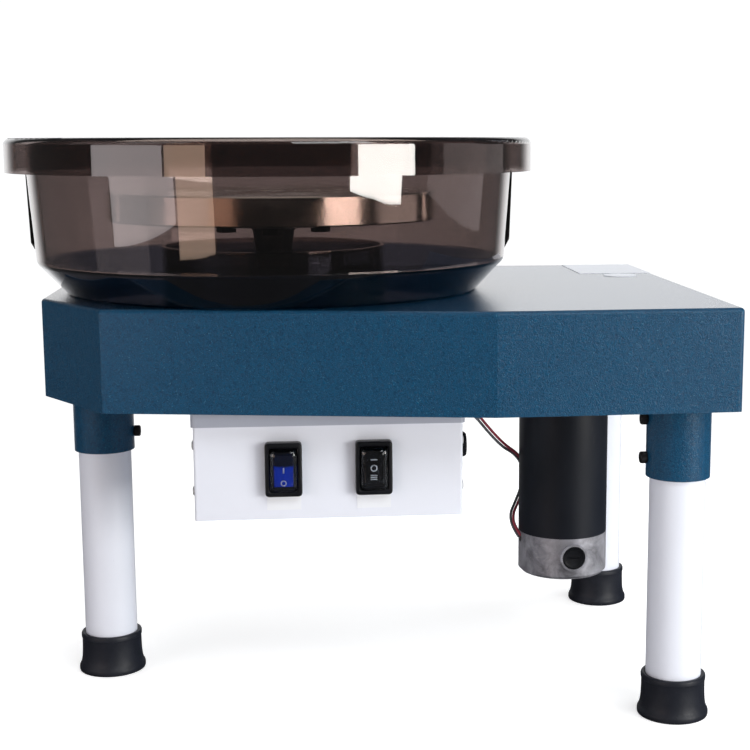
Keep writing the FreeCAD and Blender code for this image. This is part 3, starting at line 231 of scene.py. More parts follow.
def smoked_plastic(name):
    """Clear smoky brown moulded plastic with hairline scratches, with a dark bluish grey in its
    floor and its sloping base."""
    f = Finish(name)
    flow = f.noise(16, 2, 0.4, at=f.stretched((1, 1, 0.35)))
    hair = f.noise(260, 6, 0.75, 2.5, at=f.stretched((0.08, 0.08, 1)))
    cloud = f.noise(7, 2)
    colour = f.blend(cloud, (0.325, 0.270, 0.260), (0.300, 0.250, 0.241))
    # Below the height where the wall turns in, the colour turns dark bluish grey.
    below_knee = f.span(f.height(), BASIN_KNEE - 0.0012, BASIN_KNEE + 0.0008, 1.0, 0.0)
    colour = f.blend(below_knee, colour, (0.060, 0.066, 0.092))
    normal = f.bump(flow, 0.0012, 0.22)
    f.set(Base_Color=colour, Transmission_Weight=1.0, IOR=1.49,
          Roughness=f.span(hair, 0.55, 0.8, 0.012, 0.09), Normal=normal,
          Coat_Weight=0.35, Coat_Roughness=0.02, Coat_IOR=1.5)
    return f.material


def turned_metal(name, colour, x, roughness):
    """Metal with fine lathe rings about an upright axis, smudged."""
    depth = 0.00004
    f = Finish(name)
    rings = f.tree.nodes.new("ShaderNodeTexNoise")
    rings.noise_dimensions = "1D"
    f.fill(rings.inputs["W"], f.axis_distance(x))
    rings.inputs["Scale"].default_value = 5200
    rings.inputs["Detail"].default_value = 2.0
    passes = f.noise(2600, 2, at=f.stretched((0.02, 0.02, 1)))
    smudge = f.noise(28, 5, 0.6)
    normal = f.bump(rings.outputs["Fac"], depth, 0.5)
    normal = f.bump(passes, depth, 0.35, normal)
    f.set(Base_Color=f.blend(smudge, colour, shade(colour, 0.8)), Metallic=1.0, Normal=normal,
          Roughness=f.span(smudge, 0.35, 0.7, roughness, roughness + 0.14))
    return f.material


def plain_metal(name, colour, roughness, grain=420, depth=0.00008, metallic=1.0):
    """Machined or rolled metal, lightly stained."""
    f = Finish(name)
    lines = f.noise(grain, 4, 0.6, at=f.stretched((1, 0.06, 1)))
    stain = f.noise(34, 5, 0.62)
    dark = shade(colour, 0.68)
    f.set(Base_Color=f.blend(f.span(stain, 0.35, 0.75), colour, dark), Metallic=metallic,
          Roughness=f.span(stain, 0.3, 0.7, roughness, roughness + 0.18),
          Normal=f.bump(lines, depth, 0.4))
    return f.material


def cast_bell(name):
    """Bare cast aluminium, tumbled, with smears and small nicks."""
    f = Finish(name)
    blotch = f.noise(60, 5, 0.62, 0.6)
    skin = f.noise(900, 3)
    scratch = f.span(f.noise(420, 6, 0.7, 1.5, at=f.stretched((0.2, 0.2, 1))), 0.6, 0.74)
    nick = f.span(f.cells(240), 0.0, 0.12, 1.0, 0.0)
    nick = f.maths("MULTIPLY", nick, f.span(f.noise(90, 2), 0.56, 0.62))
    colour = f.blend(f.span(blotch, 0.3, 0.7), (0.56, 0.56, 0.62), (0.17, 0.17, 0.19))
    colour = f.blend(f.maths("MULTIPLY", scratch, 0.5), colour, (0.66, 0.65, 0.64))
    colour = f.blend(f.maths("MULTIPLY", nick, 0.7), colour, (0.10, 0.10, 0.11))
    normal = f.bump(skin, 0.0002, 0.4)
    normal = f.bump(blotch, 0.0008, 0.2, normal)
    f.set(Base_Color=colour, Metallic=0.55, Roughness=f.span(blotch, 0.3, 0.7, 0.38, 0.55),
          Normal=normal)
    return f.material


def satin_black(name):
    """The motor can's satin black enamel."""
    f = Finish(name)
    fine = f.noise(1100, 2)
    cloud = f.noise(22, 4)
    rub = f.span(f.noise(240, 6, 0.7, 0.5, at=f.stretched((1, 1, 0.12))), 0.64, 0.76)
    colour = f.blend(cloud, (0.0050, 0.0070, 0.0125), (0.0085, 0.0115, 0.0195))
    colour = f.blend(f.maths("MULTIPLY", rub, 0.3), colour, (0.05, 0.055, 0.065))
    f.set(Base_Color=colour, Roughness=f.span(cloud, 0.3, 0.7, 0.44, 0.56),
          Normal=f.bump(fine, 0.0001, 0.3), Specular_IOR_Level=0.3)
    return f.material


def moulded(name, colour, roughness, shine=0.5):
    """Moulded plastic with a fine spark-eroded grain and faint rubbing."""
    f = Finish(name)
    spark = f.noise(1500, 2)
    rub = f.noise(70, 4)
    paler = tuple(c * 1.5 + 0.001 for c in colour)
    f.set(Base_Color=f.blend(f.span(rub, 0.45, 0.75), colour, paler),
          Roughness=f.span(rub, 0.3, 0.7, roughness, roughness + 0.12),
          Normal=f.bump(spark, 0.0001, 0.3), Specular_IOR_Level=shine)
    return f.material


def rocker_with_painted_light(name):
    """Clear blue rocker plastic with painted light and shade: lit and glowing below, dark above.
    """
    f = Finish(name)
    flow = f.noise(140, 3)
    cloud = f.maths("MULTIPLY", f.span(flow, 0.3, 0.7, -1.0, 1.0), 0.0006)
    level = f.maths("ADD", f.height(), cloud)
    middle = SWITCH_Z * MM
    # Painted light and shade: a bright blue glow below this level, a dark shaded tone above it.
    painted_lit_half = f.span(level, middle + 0.0012, middle + 0.0028, 1.0, 0.0)
    f.set(Base_Color=f.blend(painted_lit_half, (0.002, 0.007, 0.030), (0.001, 0.022, 0.30)),
          Emission_Color=f.blend(painted_lit_half, (0.0, 0.001, 0.010), (0.0, 0.022, 0.34)),
          Emission_Strength=0.45, Roughness=f.span(flow, 0.3, 0.7, 0.18, 0.28),
          Normal=f.bump(flow, 0.0002, 0.2))
    return f.material


def clear_boot(name):
    """Soft clear silicone, slightly smoky."""
    f = Finish(name)
    skin = f.noise(90, 3)
    f.set(Base_Color=f.blend(skin, (0.80, 0.83, 0.88), (0.72, 0.76, 0.82)),
          Transmission_Weight=1.0, IOR=1.3, Roughness=f.span(skin, 0.3, 0.7, 0.01, 0.03),
          Normal=f.bump(skin, 0.0001, 0.05), Coat_Weight=0.6, Coat_Roughness=0.04)
    return f.material


def paper(name, colour, stained):
    """A blank stuck-on label, slightly wavy and dirty at its edges."""
    f = Finish(name)
    fibre = f.noise(1600, 4, 0.7)
    dirt = f.span(f.noise(60, 4), 0.5, 0.8, 0.0, 0.3)
    wave = f.noise(120, 1)
    normal = f.bump(wave, 0.0006, 0.2, f.bump(fibre, 0.00006, 0.4))
    f.set(Base_Color=f.blend(dirt, colour, stained), Normal=normal,
          Roughness=f.span(fibre, 0.3, 0.7, 0.34, 0.5))
    return f.material


def speckled(name, colour, second, scale=300, roughness=0.5, metallic=0.0):
    """A finish with two mixed tones, for the parts inside the machine."""
    f = Finish(name)
    grain = f.noise(scale, 4, 0.6)
    f.set(Base_Color=f.blend(f.span(grain, 0.38, 0.62), colour, second), Metallic=metallic,
          Roughness=f.span(grain, 0.3, 0.7, roughness, roughness + 0.15),
          Normal=f.bump(grain, 0.0002, 0.3))
    return f.material


FINISHES = {
    "body_paint": hammered_paint("hammered_teal"),
    "white_paint": white_paint("white_powder_coat"),
    "foot_rubber": rubber("foot_rubber_black", (0.0075, 0.0095, 0.0165), (0.024, 0.027, 0.036)),
    "basin_plastic": smoked_plastic("smoky_plastic"),
    "seal_rubber": rubber("foam_seal_black", (0.006, 0.006, 0.007), (0.02, 0.02, 0.022), 1600),
    "wheel_aluminium": turned_metal("turned_wheel_head", (0.93, 0.89, 0.80), WHEEL_X, 0.09),
    "hub_steel": turned_metal("hub_dark_steel", (0.20, 0.20, 0.215), WHEEL_X, 0.3),
    "black_screws": plain_metal("black_oxide", (0.016, 0.016, 0.018), 0.42, metallic=0.4),
    "zinc_screws": plain_metal("bright_zinc", (0.62, 0.63, 0.64), 0.36, metallic=0.45),
    "bearing_steel": turned_metal("bearing_rings", (0.55, 0.56, 0.58), WHEEL_X, 0.18),
    "cast_iron": plain_metal("housing_casting", (0.13, 0.13, 0.14), 0.5, 700, 0.0002, 0.8),
    "belt_rubber": rubber("belt_black", (0.010, 0.010, 0.011), (0.035, 0.034, 0.033), 1300),
    "pulley_aluminium": turned_metal("pulley_turned", (0.52, 0.52, 0.53), WHEEL_X, 0.3),
    "plate_steel": plain_metal("rolled_steel", (0.42, 0.42, 0.43), 0.34),
    "motor_black": satin_black("can_enamel"),
    "bell_aluminium": cast_bell("cast_end_bell"),
    "switch_black": moulded("switch_frame_black", (0.0045, 0.005, 0.007), 0.3, shine=0.25),
    # The blue rocker carries painted light below and painted shade above.
    "rocker_blue": rocker_with_painted_light("rocker_blue_painted_light"),
    "rocker_black": moulded("rocker_gloss_black", (0.004, 0.0045, 0.006), 0.2, shine=0.3),
    "boot_clear": clear_boot("silicone_boot"),
    "label_paper": paper("blank_label", (0.80, 0.825, 0.885), (0.72, 0.735, 0.78)),
    "board_green": speckled("circuit_board", (0.012, 0.11, 0.045), (0.02, 0.17, 0.07), 500, 0.35),
    "board_parts": speckled("board_parts_dark", (0.03, 0.03, 0.033), (0.09, 0.09, 0.10), 200),
    "copper": speckled("copper_bars", (0.62, 0.28, 0.14), (0.45, 0.19, 0.09), 600, 0.3, 1.0),
    "magnet_grey": speckled("ferrite", (0.05, 0.05, 0.053), (0.09, 0.09, 0.095), 400, 0.6),
    "carbon": speckled("brush_carbon", (0.012, 0.012, 0.013), (0.03, 0.03, 0.03), 800, 0.6),
    "wire_red": rubber("red_insulation", (0.36, 0.035, 0.062), (0.46, 0.13, 0.16)),
    "wire_black": rubber("grey_insulation", (0.10, 0.105, 0.12), (0.17, 0.17, 0.18)),
}
SYMBOL_WHITE = moulded("printed_white", (0.74, 0.76, 0.78), 0.4)
SHEATH_GREY = rubber("grey_sheath", (0.20, 0.21, 0.235), (0.28, 0.28, 0.30))
# Painted shade: the lid's darker grey stands in for the shadow of the body's skirt on the box's
# top.
LID_PAINTED_SHADE = white_paint("lid_painted_shade_coat", (0.42, 0.45, 0.54))

for node in NODES.values():
    for holder in node.material_slots:
        holder.material = FINISHES[holder.material.name]
# The lid takes the painted-shade grey.
NODES["control_box_cover"].material_slots[0].material = LID_PAINTED_SHADE


# ---------------------------------------------------------------- making pieces

def piece(name, mesh, body, slot, stands_for=(), material=None, sharp=35):
    """Put a mesh in the scene as one piece that rides on a CAD body."""
    mesh.materials.append(material or FINISHES[slot])
    mesh.shade_smooth()
    mesh.set_sharp_from_angle(angle=math.radians(sharp))
    made = bpy.data.objects.new(name, mesh)
    bpy.context.collection.objects.link(made)
    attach(made, body)
    if stands_for:
        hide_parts(*stands_for)
    return made


def rounded(corners, radii, steps=6):
    """A closed outline whose corners are rounded."""
    result = []
    for index, (corner, radius) in enumerate(zip(corners, radii)):
        here = Vector(corner)
        before = Vector(corners[index - 1]) - here
        after = Vector(corners[(index + 1) % len(corners)]) - here
        if radius == 0:
            result.append(here)
            continue
        reach = radius / math.tan(before.angle(after) / 2)
        reach = min(reach, before.length * 0.48, after.length * 0.48)
        start = here + before.normalized() * reach
        end = here + after.normalized() * reach
        for step in range(steps + 1):
            t = step / steps
            result.append(start * (1 - t) ** 2 + here * 2 * t * (1 - t) + end * t ** 2)
    return result


def loft(name, loops, closed_ring=False):
    """Skin a row of loops that have the same number of points, and cap its two ends."""
    work = bmesh.new()
    rows = [[work.verts.new(point) for point in loop] for loop in loops]
    pairs = list(zip(rows, rows[1:]))
    if closed_ring:
        pairs.append((rows[-1], rows[0]))
    for lower, upper in pairs:
        count = len(lower)
        for index in range(count):
            following = (index + 1) % count
            work.faces.new((lower[index], lower[following], upper[following], upper[index]))
    if not closed_ring:
        work.faces.new(list(reversed(rows[0])))
        work.faces.new(rows[-1])
    return finish_mesh(name, work)


def finish_mesh(name, work):
    """Tidy a bmesh and turn it into a mesh."""
    bmesh.ops.remove_doubles(work, verts=work.verts, dist=1e-6)
    bmesh.ops.recalc_face_normals(work, faces=work.faces)
    mesh = bpy.data.meshes.new(name)
    work.to_mesh(mesh)
    work.free()
    return mesh


def lathe(outline, count=96):
    """Turn a closed outline of (radius, height) in mm about its own axis."""
    loops = []
    for index in range(count):
        angle = 2 * math.pi * index / count
        across, along = math.cos(angle) * MM, math.sin(angle) * MM
        loops.append([(r * across, r * along, z * MM) for r, z in outline])
    return loft("turned", loops, closed_ring=True)


def shaped(sections, count=72):
    """Skin loops about an upright axis: each is a shape and its height in mm, where the
    shape is a radius or a function from angle to radius."""
    loops = []
    for shape, height in sections:
        loop = []
        for index in range(count):
            angle = 2 * math.pi * index / count
            radius = shape(index, angle) if callable(shape) else shape
            loop.append((radius * math.cos(angle) * MM, radius * math.sin(angle) * MM,
                         height * MM))
        loops.append(loop)
    return loft("shaped", loops)


def hexagonal(across_flats):
    """The outline of a hexagon, for shaped."""
    def radius(_, angle):
        return across_flats / 2 / math.cos((angle + math.pi / 6) % (math.pi / 3) - math.pi / 6)
    return radius


def slotted(long, wide):
    """The outline of a narrow rectangle, for shaped."""
    def radius(_, angle):
        across = abs(math.cos(angle)) / (long / 2)
        along = abs(math.sin(angle)) / (wide / 2)
        return 1 / max(across, along)
    return radius


def crossed(long, wide):
    """The outline of a cross, for shaped."""
    def radius(_, angle):
        turn = (angle + math.pi / 4) % (math.pi / 2) - math.pi / 4
        return min(long / 2 / math.cos(turn), wide / 2 / max(abs(math.sin(turn)), 1e-6))
    return radius


def ribbed(outer, inner):
    """A knurled outline, for shaped."""
    def radius(index, _):
        return outer if index % 2 else inner
    return radius


def notched(outer, depth, notches):
    """A round outline with grip notches, for shaped."""
    def radius(_, angle):
        wave = math.cos(angle * notches)
        return outer - depth * max(0.0, (wave - 0.55) / 0.45) ** 0.5
    return radius


def join(name, meshes):
    """One mesh out of several."""
    work = bmesh.new()
    for mesh in meshes:
        work.from_mesh(mesh)
    joined = bpy.data.meshes.new(name)
    work.to_mesh(joined)
    work.free()
    return joined


def placed(mesh, x, y, z, rotation=None):
    """Turn a mesh and set it down at a place in mm."""
    if rotation is not None:
        mesh.transform(rotation)
    mesh.transform(Matrix.Translation((x * MM, y * MM, z * MM)))
    return mesh


# Where a piece's own +Z points once it is turned.
ALONG_X = Matrix.Rotation(math.radians(90), 4, "Y")
AGAINST_X = Matrix.Rotation(math.radians(-90), 4, "Y")
FRONTWARDS = Matrix.Rotation(math.radians(90), 4, "X")
BACKWARDS = Matrix.Rotation(math.radians(-90), 4, "X")


def rounded_rectangle(wide, tall, radius, steps=6):
    """A rounded rectangle in mm about its own centre, as (x, z) pairs."""
    half, rise = wide / 2, tall / 2
    corners = [(-half, -rise), (half, -rise), (half, rise), (-half, rise)]
    return [(p.x, p.y) for p in rounded(corners, [radius] * 4, steps)]


def panel_loft(x, sections):
    """Skin rounded rectangles about a switch's centre, proud of the box by so many mm."""
    loops = []
    for wide, tall, radius, proud in sections:
        depth = (BOX_FRONT - proud) * MM
        loops.append([((x + across) * MM, depth, (SWITCH_Z + rise) * MM)
                      for across, rise in rounded_rectangle(wide, tall, radius)])
    return loft("panel", loops)


# ---------------------------------------------------------------- camera

CAMERA_PLACE = (-0.04416, -1.14618, 0.41418)
CAMERA_HEADING = (0.09496, 0.99548, 0.0)
CAMERA_PITCH = 9.053
CAMERA_ROLL = -0.0021
CAMERA_LENS = 70.89
CAMERA_SENSOR = 36.0
CAMERA_SHIFT = -0.0829


def make_camera():
    """The photograph's viewpoint: close, a little above the wheel head's height."""
    data = bpy.data.cameras.new("camera")
    data.sensor_width = CAMERA_SENSOR
    data.lens = CAMERA_LENS
    data.shift_x = CAMERA_SHIFT
    camera = bpy.data.objects.new("camera", data)
    forward = Vector(CAMERA_HEADING).normalized()
    pitch = math.radians(CAMERA_PITCH)
    aim = forward * math.cos(pitch) - Vector((0, 0, 1)) * math.sin(pitch)
    level = aim.to_track_quat("-Z", "Y").to_matrix()
    camera.rotation_euler = (level @ Matrix.Rotation(CAMERA_ROLL, 3, "Z")).to_euler()
    camera.location = CAMERA_PLACE
    bpy.context.collection.objects.link(camera)
    bpy.context.scene.camera = camera


make_camera()


# ---------------------------------------------------------------- motor wires

# The route between part.py's two wires, in metres, a little further behind the can in the
# middle.
WIRE_ROUTE = (
    (0.0785, -0.0100, 0.2100),
    (0.0865, -0.0100, 0.2100),
    (0.0950, -0.0095, 0.2000),
    (0.1070, -0.0065, 0.1850),
    (0.1190, 0.0005, 0.1720),
    (0.1300, 0.0145, 0.1635),
    (0.1395, 0.0300, 0.1500),
    (0.1400, 0.0330, 0.1330),
    (0.1325, 0.0220, 0.1205),
    (0.1262, 0.0080, 0.1150),
    (0.1263, -0.0003, 0.1065),
    (0.1316, -0.0031, 0.0986),
)
# How far the red wire lies from that route at each of its points. The black wire lies as
# far on the other side.
WIRE_SPREAD = (
    (0.0, 0.0, 0.0013),
    (0.0005, 0.0, 0.0013),
    (0.0010, 0.0, 0.00085),
    (0.00095, 0.0001, 0.0009),
    (0.0010, -0.0002, 0.0008),
    (0.00115, -0.0005, 0.0003),
    (0.0012, -0.00045, 0.0),
    (0.00125, -0.0003, -0.0001),
    (0.0012, -0.0005, 0.0),
    (0.0012, -0.0004, 0.0001),
    (0.00072, -0.00078, 0.00075),
    (0.00072, -0.00078, 0.00075),
)
WIRE_RADIUS = 0.0011

# The sleeve's radius at each end, its length, and how many points are on its outline.
SHEATH_START = 0.0031
SHEATH_END = 0.0026
SHEATH_LENGTH = 0.024
SHEATH_POINTS = 24


def wire_curve(name, side, radius):
    """One smooth wire beside the shared route: side is 1 for the red wire, -1 for the
    black one and 0 for the line between them."""
    curve = bpy.data.curves.new(name, "CURVE")
    curve.dimensions = "3D"
    curve.bevel_depth = radius
    curve.bevel_resolution = 5
    curve.use_fill_caps = radius > 0
    spline = curve.splines.new("NURBS")
    spline.points.add(len(WIRE_ROUTE) - 1)
    for point, middle, spread in zip(spline.points, WIRE_ROUTE, WIRE_SPREAD):
        point.co = (*(Vector(middle) + Vector(spread) * side), 1.0)
    spline.order_u = 3
    spline.use_endpoint_u = True
    spline.resolution_u = 12
    made = bpy.data.objects.new(name, curve)
    bpy.context.collection.objects.link(made)
    return made


def make_sheath():
    """The grey sleeve that holds both wires together where they leave the gland."""
    guide = wire_curve("sheath_guide", 0, 0.0)
    line = bpy.data.meshes.new_from_object(guide)
    points = [vertex.co.copy() for vertex in line.vertices]
    bpy.data.objects.remove(guide)
    turns = [2 * math.pi * k / SHEATH_POINTS for k in range(SHEATH_POINTS)]
    loops = []
    gone = 0.0
    for index, point in enumerate(points[:-1]):
        ahead = points[index + 1] - point
        along = ahead.normalized()
        across = along.cross(Vector((0, 1, 0))).normalized()
        up = across.cross(along)
        share = min(gone / SHEATH_LENGTH, 1.0)
        radius = SHEATH_START + (SHEATH_END - SHEATH_START) * share
        loops.append([point + (across * math.cos(turn) + up * math.sin(turn)) * radius
                      for turn in turns])
        if share == 1.0:
            break
        gone += ahead.length
    return piece("wire_sheath", loft("wire_sheath", loops), "base", "wire_black",
                 material=SHEATH_GREY, sharp=40)


def make_wire(name, side, slot, node, with_pieces):
    """One motor wire, a loose cord laid as a smooth curve beside the shared route."""
    wire = wire_curve(name, side, WIRE_RADIUS)
    wire.data.materials.append(FINISHES[slot])
    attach(wire, "base")
    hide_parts(node)


make_wire("red_motor_wire", 1, "wire_red", "motor_wire_red",
          [make_sheath()])
make_wire("black_motor_wire", -1, "wire_black", "motor_wire_black", [])


# ---------------------------------------------------------------- switches

# Each section is wide, tall, corner radius and distance proud of the box's front, in mm.
# The frame's go from the floor of its well out to the shelf, over the frame and back down
# its outside to the barrel's end. The boot's go from the inside of its crown to its foot on
# the shelf, and back up its outside.
FRAME_SECTIONS = (
    (15, 27, 0.8, -22), (15, 27, 0.8, 3), (19.6, 31, 1.6, 3), (19.6, 31, 1.6, 6.6),
    (20.0, 31.4, 1.8, 7.4), (20.8, 32.2, 2.0, 7.9), (21.8, 33.2, 2.2, 8.0),
    (23.6, 36.1, 2.6, 8.0), (24.9, 37.4, 3.0, 7.7), (25.7, 38.2, 3.0, 7.0),
    (26, 38.5, 3.0, 6.0), (26, 38.5, 3.0, 0.5), (25.4, 37.9, 2.8, 0), (22, 32, 1.0, 0),
    (22, 32, 1.0, -23.4), (21.4, 31.4, 1.0, -24),
)
BOOT_SECTIONS = (
    (11.0, 22.5, 2.4, 10.2), (14.6, 26.0, 3.0, 9.9), (16.4, 27.8, 2.8, 8.8),
    (17.5, 28.9, 2.2, 7.0), (17.8, 29.2, 1.2, 3.4), (17.8, 29.2, 1.2, 3.02),
    (19.4, 30.8, 1.6, 3.02), (19.4, 30.8, 2.0, 6.8), (18.8, 30.2, 3.0, 8.6),
    (17.6, 29.0, 3.6, 9.9), (15.8, 27.2, 3.8, 10.7), (12.0, 23.5, 3.2, 11.0),
)

# In mm: the rocker's pin behind the box's front, the rocker's half height, its face's
# distance from the pin at the middle, and how much further out its ends are.
ROCKER_PIVOT = 3.0
ROCKER_RISE = 11.5
ROCKER_FACE = 7.8
ROCKER_DISH = 1.1

# Half widths across the rocker, each with how far its outline shrinks there, in mm.
ROCKER_WIDTHS = ((-7, 0.6), (-6.8, 0.25), (-6.3, 0), (6.3, 0), (6.8, 0.25), (7, 0.6))
ROCKER_BACK = ((-8.9, 11.5), (-2.0, 11.5), (5.0, 5.0), (5.0, -5.0), (-2.0, -11.5),
               (-8.9, -11.5))
ROCKER_BACK_RADII = (0, 1.5, 1, 1, 1.5, 0)
ROCKER_MIDDLE = (-2.0, 0.0)
ROCKER_PIN = ((0, -9), (1.3, -9), (1.5, -8.8), (1.5, 8.8), (1.3, 9), (0, 9))

# How far a printed mark goes into the rocker's face and stands out of it, in mm.
PRINT_UNDER = -0.3
PRINT_OVER = 0.12


def face_depth(rise):
    """How far a rocker's dished face stands in front of its pin, at a height on it in mm."""
    return ROCKER_FACE + ROCKER_DISH * (rise / ROCKER_RISE) ** 2


def set_on_pin(mesh, x, tilt):
    """Tilt a mesh about a rocker's pin, by so many degrees, and set it in its switch."""
    turn = Matrix.Rotation(math.radians(tilt), 4, "X")
    return placed(mesh, x, BOX_FRONT + ROCKER_PIVOT, SWITCH_Z, turn)


def make_rocker(name, x, body, slot, node, tilt):
    """The rocker on its pin: dished face, softened edges, narrowing to the heel."""
    back = rounded(ROCKER_BACK, ROCKER_BACK_RADII, 5)
    side = [Vector((-face_depth(step), step)) for step in range(-11, 12)] + back
    middle = Vector(ROCKER_MIDDLE)
    loops = []
    for across, shrink in ROCKER_WIDTHS:
        loop = []
        for point in side:
            inward = (middle - point).normalized() * shrink
            loop.append((across * MM, (point.x + inward.x) * MM, (point.y + inward.y) * MM))
        loops.append(loop)
    mesh = join(name, [loft(name, loops), placed(lathe(ROCKER_PIN, 32), 0, 0, 0, ALONG_X)])
    piece(name, set_on_pin(mesh, x, tilt), body, slot, [node], sharp=30)


def mark(x, tilt, rise, meshes, name, body):
    """Printed symbols laid on a rocker's dished face: rise is up the face, in mm."""
    mesh = join(name, meshes)
    for vertex in mesh.vertices:
        across, up, proud = vertex.co
        depth = face_depth(up / MM + rise) * MM + proud
        vertex.co = (across, -depth, up + rise * MM)
    piece(name, set_on_pin(mesh, x, tilt), body, "switch_black", material=SYMBOL_WHITE)


def bar(wide, tall, rise=0.0):
    """A flat printed bar with rounded ends."""
    flat = rounded_rectangle(wide, tall, min(wide, tall) * 0.35, 3)
    low, high = ([(x * MM, (y + rise) * MM, proud * MM) for x, y in flat]
                 for proud in (PRINT_UNDER, PRINT_OVER))
    return loft("bar", [low, high])


def printed_ring(outer, line):
    """A flat printed circle."""
    inner = outer - line
    return lathe([(inner, PRINT_UNDER), (outer, PRINT_UNDER), (outer, PRINT_OVER),
                  (inner, PRINT_OVER)], 40)


def make_switch(name, x, rocker_slot, tilt):
    """One panel switch in its waterproof boot."""
    piece(f"{name}_frame", panel_loft(x, FRAME_SECTIONS), "base", "switch_black",
          [f"{name}_switch_housing"], sharp=40)
    piece(f"{name}_cover", panel_loft(x, BOOT_SECTIONS), "base", "boot_clear",
          [f"{name}_boot"], sharp=60)
    make_rocker(f"{name}_rocker_cap", x, f"{name}_rocker", rocker_slot,
                f"{name}_rocker", tilt)


POWER_TILT = 7.0    # degrees, the power rocker's setting at rest

make_switch("power", POWER_X, "rocker_blue", POWER_TILT)
make_switch("direction", DIRECTION_X, "rocker_black", 0.0)
mark(POWER_X, POWER_TILT, 0.2, [bar(1.1, 4.2)], "power_on_mark", "power_rocker")
mark(POWER_X, POWER_TILT, -9.0, [printed_ring(2.1, 0.75)], "power_off_mark", "power_rocker")
mark(DIRECTION_X, 0, -0.4, [printed_ring(2.5, 0.8)], "direction_stop_mark", "direction_rocker")
mark(DIRECTION_X, 0, 5.7, [bar(4.8, 1.1)], "direction_one_mark", "direction_rocker")
mark(DIRECTION_X, 0, -6.6, [bar(4.8, 0.85, rise) for rise in (1.1, -0.3, -1.7)],
     "direction_two_mark", "direction_rocker")


# ---------------------------------------------------------------- feet and fasteners

# Each leg's axis in mm, and the way its lock screws point.
LEGS = {
    "left": (-194.8, 0.0, 1),
    "front": (224.3, -137.5, -1),
    "rear": (224.3, 137.5, -1),
}

# The foot's (radius, height) outline in mm: the grooved sole, the flared side, the lip round
# the top and the bore for the leg.
FOOT_OUTLINE = (
    (0, 1), (7.6, 1), (8, 0), (11, 0), (11.4, 1), (14.6, 1), (15, 0), (18, 0), (18.4, 1),
    (21.2, 1), (21.6, 0), (24.6, 0), (25.4, 0.35), (25.7, 1.2), (25.7, 3.4), (25.45, 4.4),
    (24.7, 5.6), (24.0, 7.6), (23.5, 10.4), (23.15, 14), (22.95, 19), (22.9, 26.6),
    (23.0, 27.0), (23.35, 27.4), (23.4, 29.9), (23.1, 30.6), (22.4, 31), (20.6, 31),
    (20.05, 30.5), (20.05, 6), (0, 6),
)
SOCKET_RADIUS = 22.85
LOCK_SCREW_HEIGHTS = (191.0, 219.0)

# How far back each upright row of the box's screws is, with its screws' heights, in mm.
BOX_SCREW_ROWS = ((-110.0, (201.0, 168.0)), (2.0, (195.0, 162.0)))


def cap_screw():
    """A knurled cap screw with a hexagon socket, from its shank's end to its recess."""
    knurl = ribbed(4.25, 4.02)
    return shaped([
        (2.5, -2.5), (2.5, 0), (3.9, 0), (4.1, 0.4), (knurl, 0.7), (knurl, 4.1), (4.05, 4.4),
        (3.6, 4.95), (3.3, 5.0), (2.75, 5.0), (2.5, 4.8), (hexagonal(4.0), 4.6),
        (hexagonal(4.0), 2.2), (0.8, 1.8),
    ])


def pan_screw():
    """A pan-head screw with a cross recess."""
    return shaped([
        (1.8, -1.5), (1.8, 0), (3.5, 0), (3.6, 0.2), (3.55, 0.9), (3.2, 1.5), (2.6, 1.85),
        (2.2, 1.95), (crossed(3.8, 0.95), 1.98), (crossed(3.4, 0.8), 0.9), (0.3, 0.5),
    ])


def make_feet():
    """The rubber foot of each leg."""
    for leg, (x, y, _) in LEGS.items():
        foot = placed(lathe(FOOT_OUTLINE, 120), x, y, 0)
        piece(f"foot_{leg}", foot, f"leg_{leg}", "foot_rubber", [f"leg_foot_{leg}"], sharp=28)


def make_lock_screws():
    """Two screws in each leg's socket."""
    screws = []
    for x, y, side in LEGS.values():
        turn = ALONG_X if side > 0 else AGAINST_X
        for height in LOCK_SCREW_HEIGHTS:
            screws.append(placed(cap_screw(), x + SOCKET_RADIUS * side, y, height, turn))
    piece("lock_screws", join("lock_screws", screws), "base", "black_screws",
          ["leg_lock_screws"], sharp=25)


def make_box_screws():
    """Four screws in each side of the switch box."""
    screws = []
    for x, turn in ((BOX_FAR_SIDE, AGAINST_X), (BOX_SIDE, ALONG_X)):
        for y, heights in BOX_SCREW_ROWS:
            for height in heights:
                screws.append(placed(pan_screw(), x, y, height, turn))
    piece("box_side_screws", join("box_side_screws", screws), "base", "zinc_screws",
          ["control_box_screws"], sharp=25)


make_feet()
make_lock_screws()
make_box_screws()


# ---------------------------------------------------------------- fittings on the box's side

# Where each fitting's axis is, as (y, z) in mm, and how far the earth stud's pad stands out.
EARTH_PLACE = (-113.0, 221.5)
EARTH_PAD = 1.5
SOCKET_PLACE = (-95.0, 194.6)
GLAND_PLACE = (-10.0, 210.0)

# The socket's pins: one in the middle, and a slimmer one at each of these angles.
MIDDLE_PIN = ((0, -4), (0.75, -4), (0.75, 1.6), (0.45, 2.2), (0, 2.3))
OUTER_PIN = ((0, -4), (0.6, -4), (0.6, 1.2), (0.35, 1.8), (0, 1.9))
PIN_ANGLES = (45, 135, 225, 315)
PIN_CIRCLE = 3.1


def threads(radius, low, high, pitch, depth):
    """The ripple of a screw thread between two heights, as lathe points."""
    points = []
    height = low
    while height + pitch <= high:
        points += [(radius - depth, height), (radius, height + pitch / 2)]
        height += pitch
    return points


def make_earth_terminal():
    """A washer and nut on a short threaded stud."""
    washer = lathe([(1.6, 0), (3.9, 0), (4.0, 0.2), (3.9, 1.0), (1.6, 1.0)], 48)
    nut = shaped([(2.4, 1.02), (hexagonal(5.3), 1.3), (hexagonal(5.3), 3.7), (2.4, 4.0)], 48)
    stud = lathe([(0, 0)] + [(1.3, 0)] + threads(1.5, 0.2, 5.6, 0.6, 0.22)
                 + [(1.2, 5.8), (0.9, 6.0), (0, 6.0)], 40)
    mesh = join("earth_stud", [washer, nut, stud])
    placed(mesh, BOX_SIDE + EARTH_PAD, *EARTH_PLACE, ALONG_X)
    piece("earth_stud", mesh, "base", "zinc_screws", ["earth_terminal"], sharp=28)


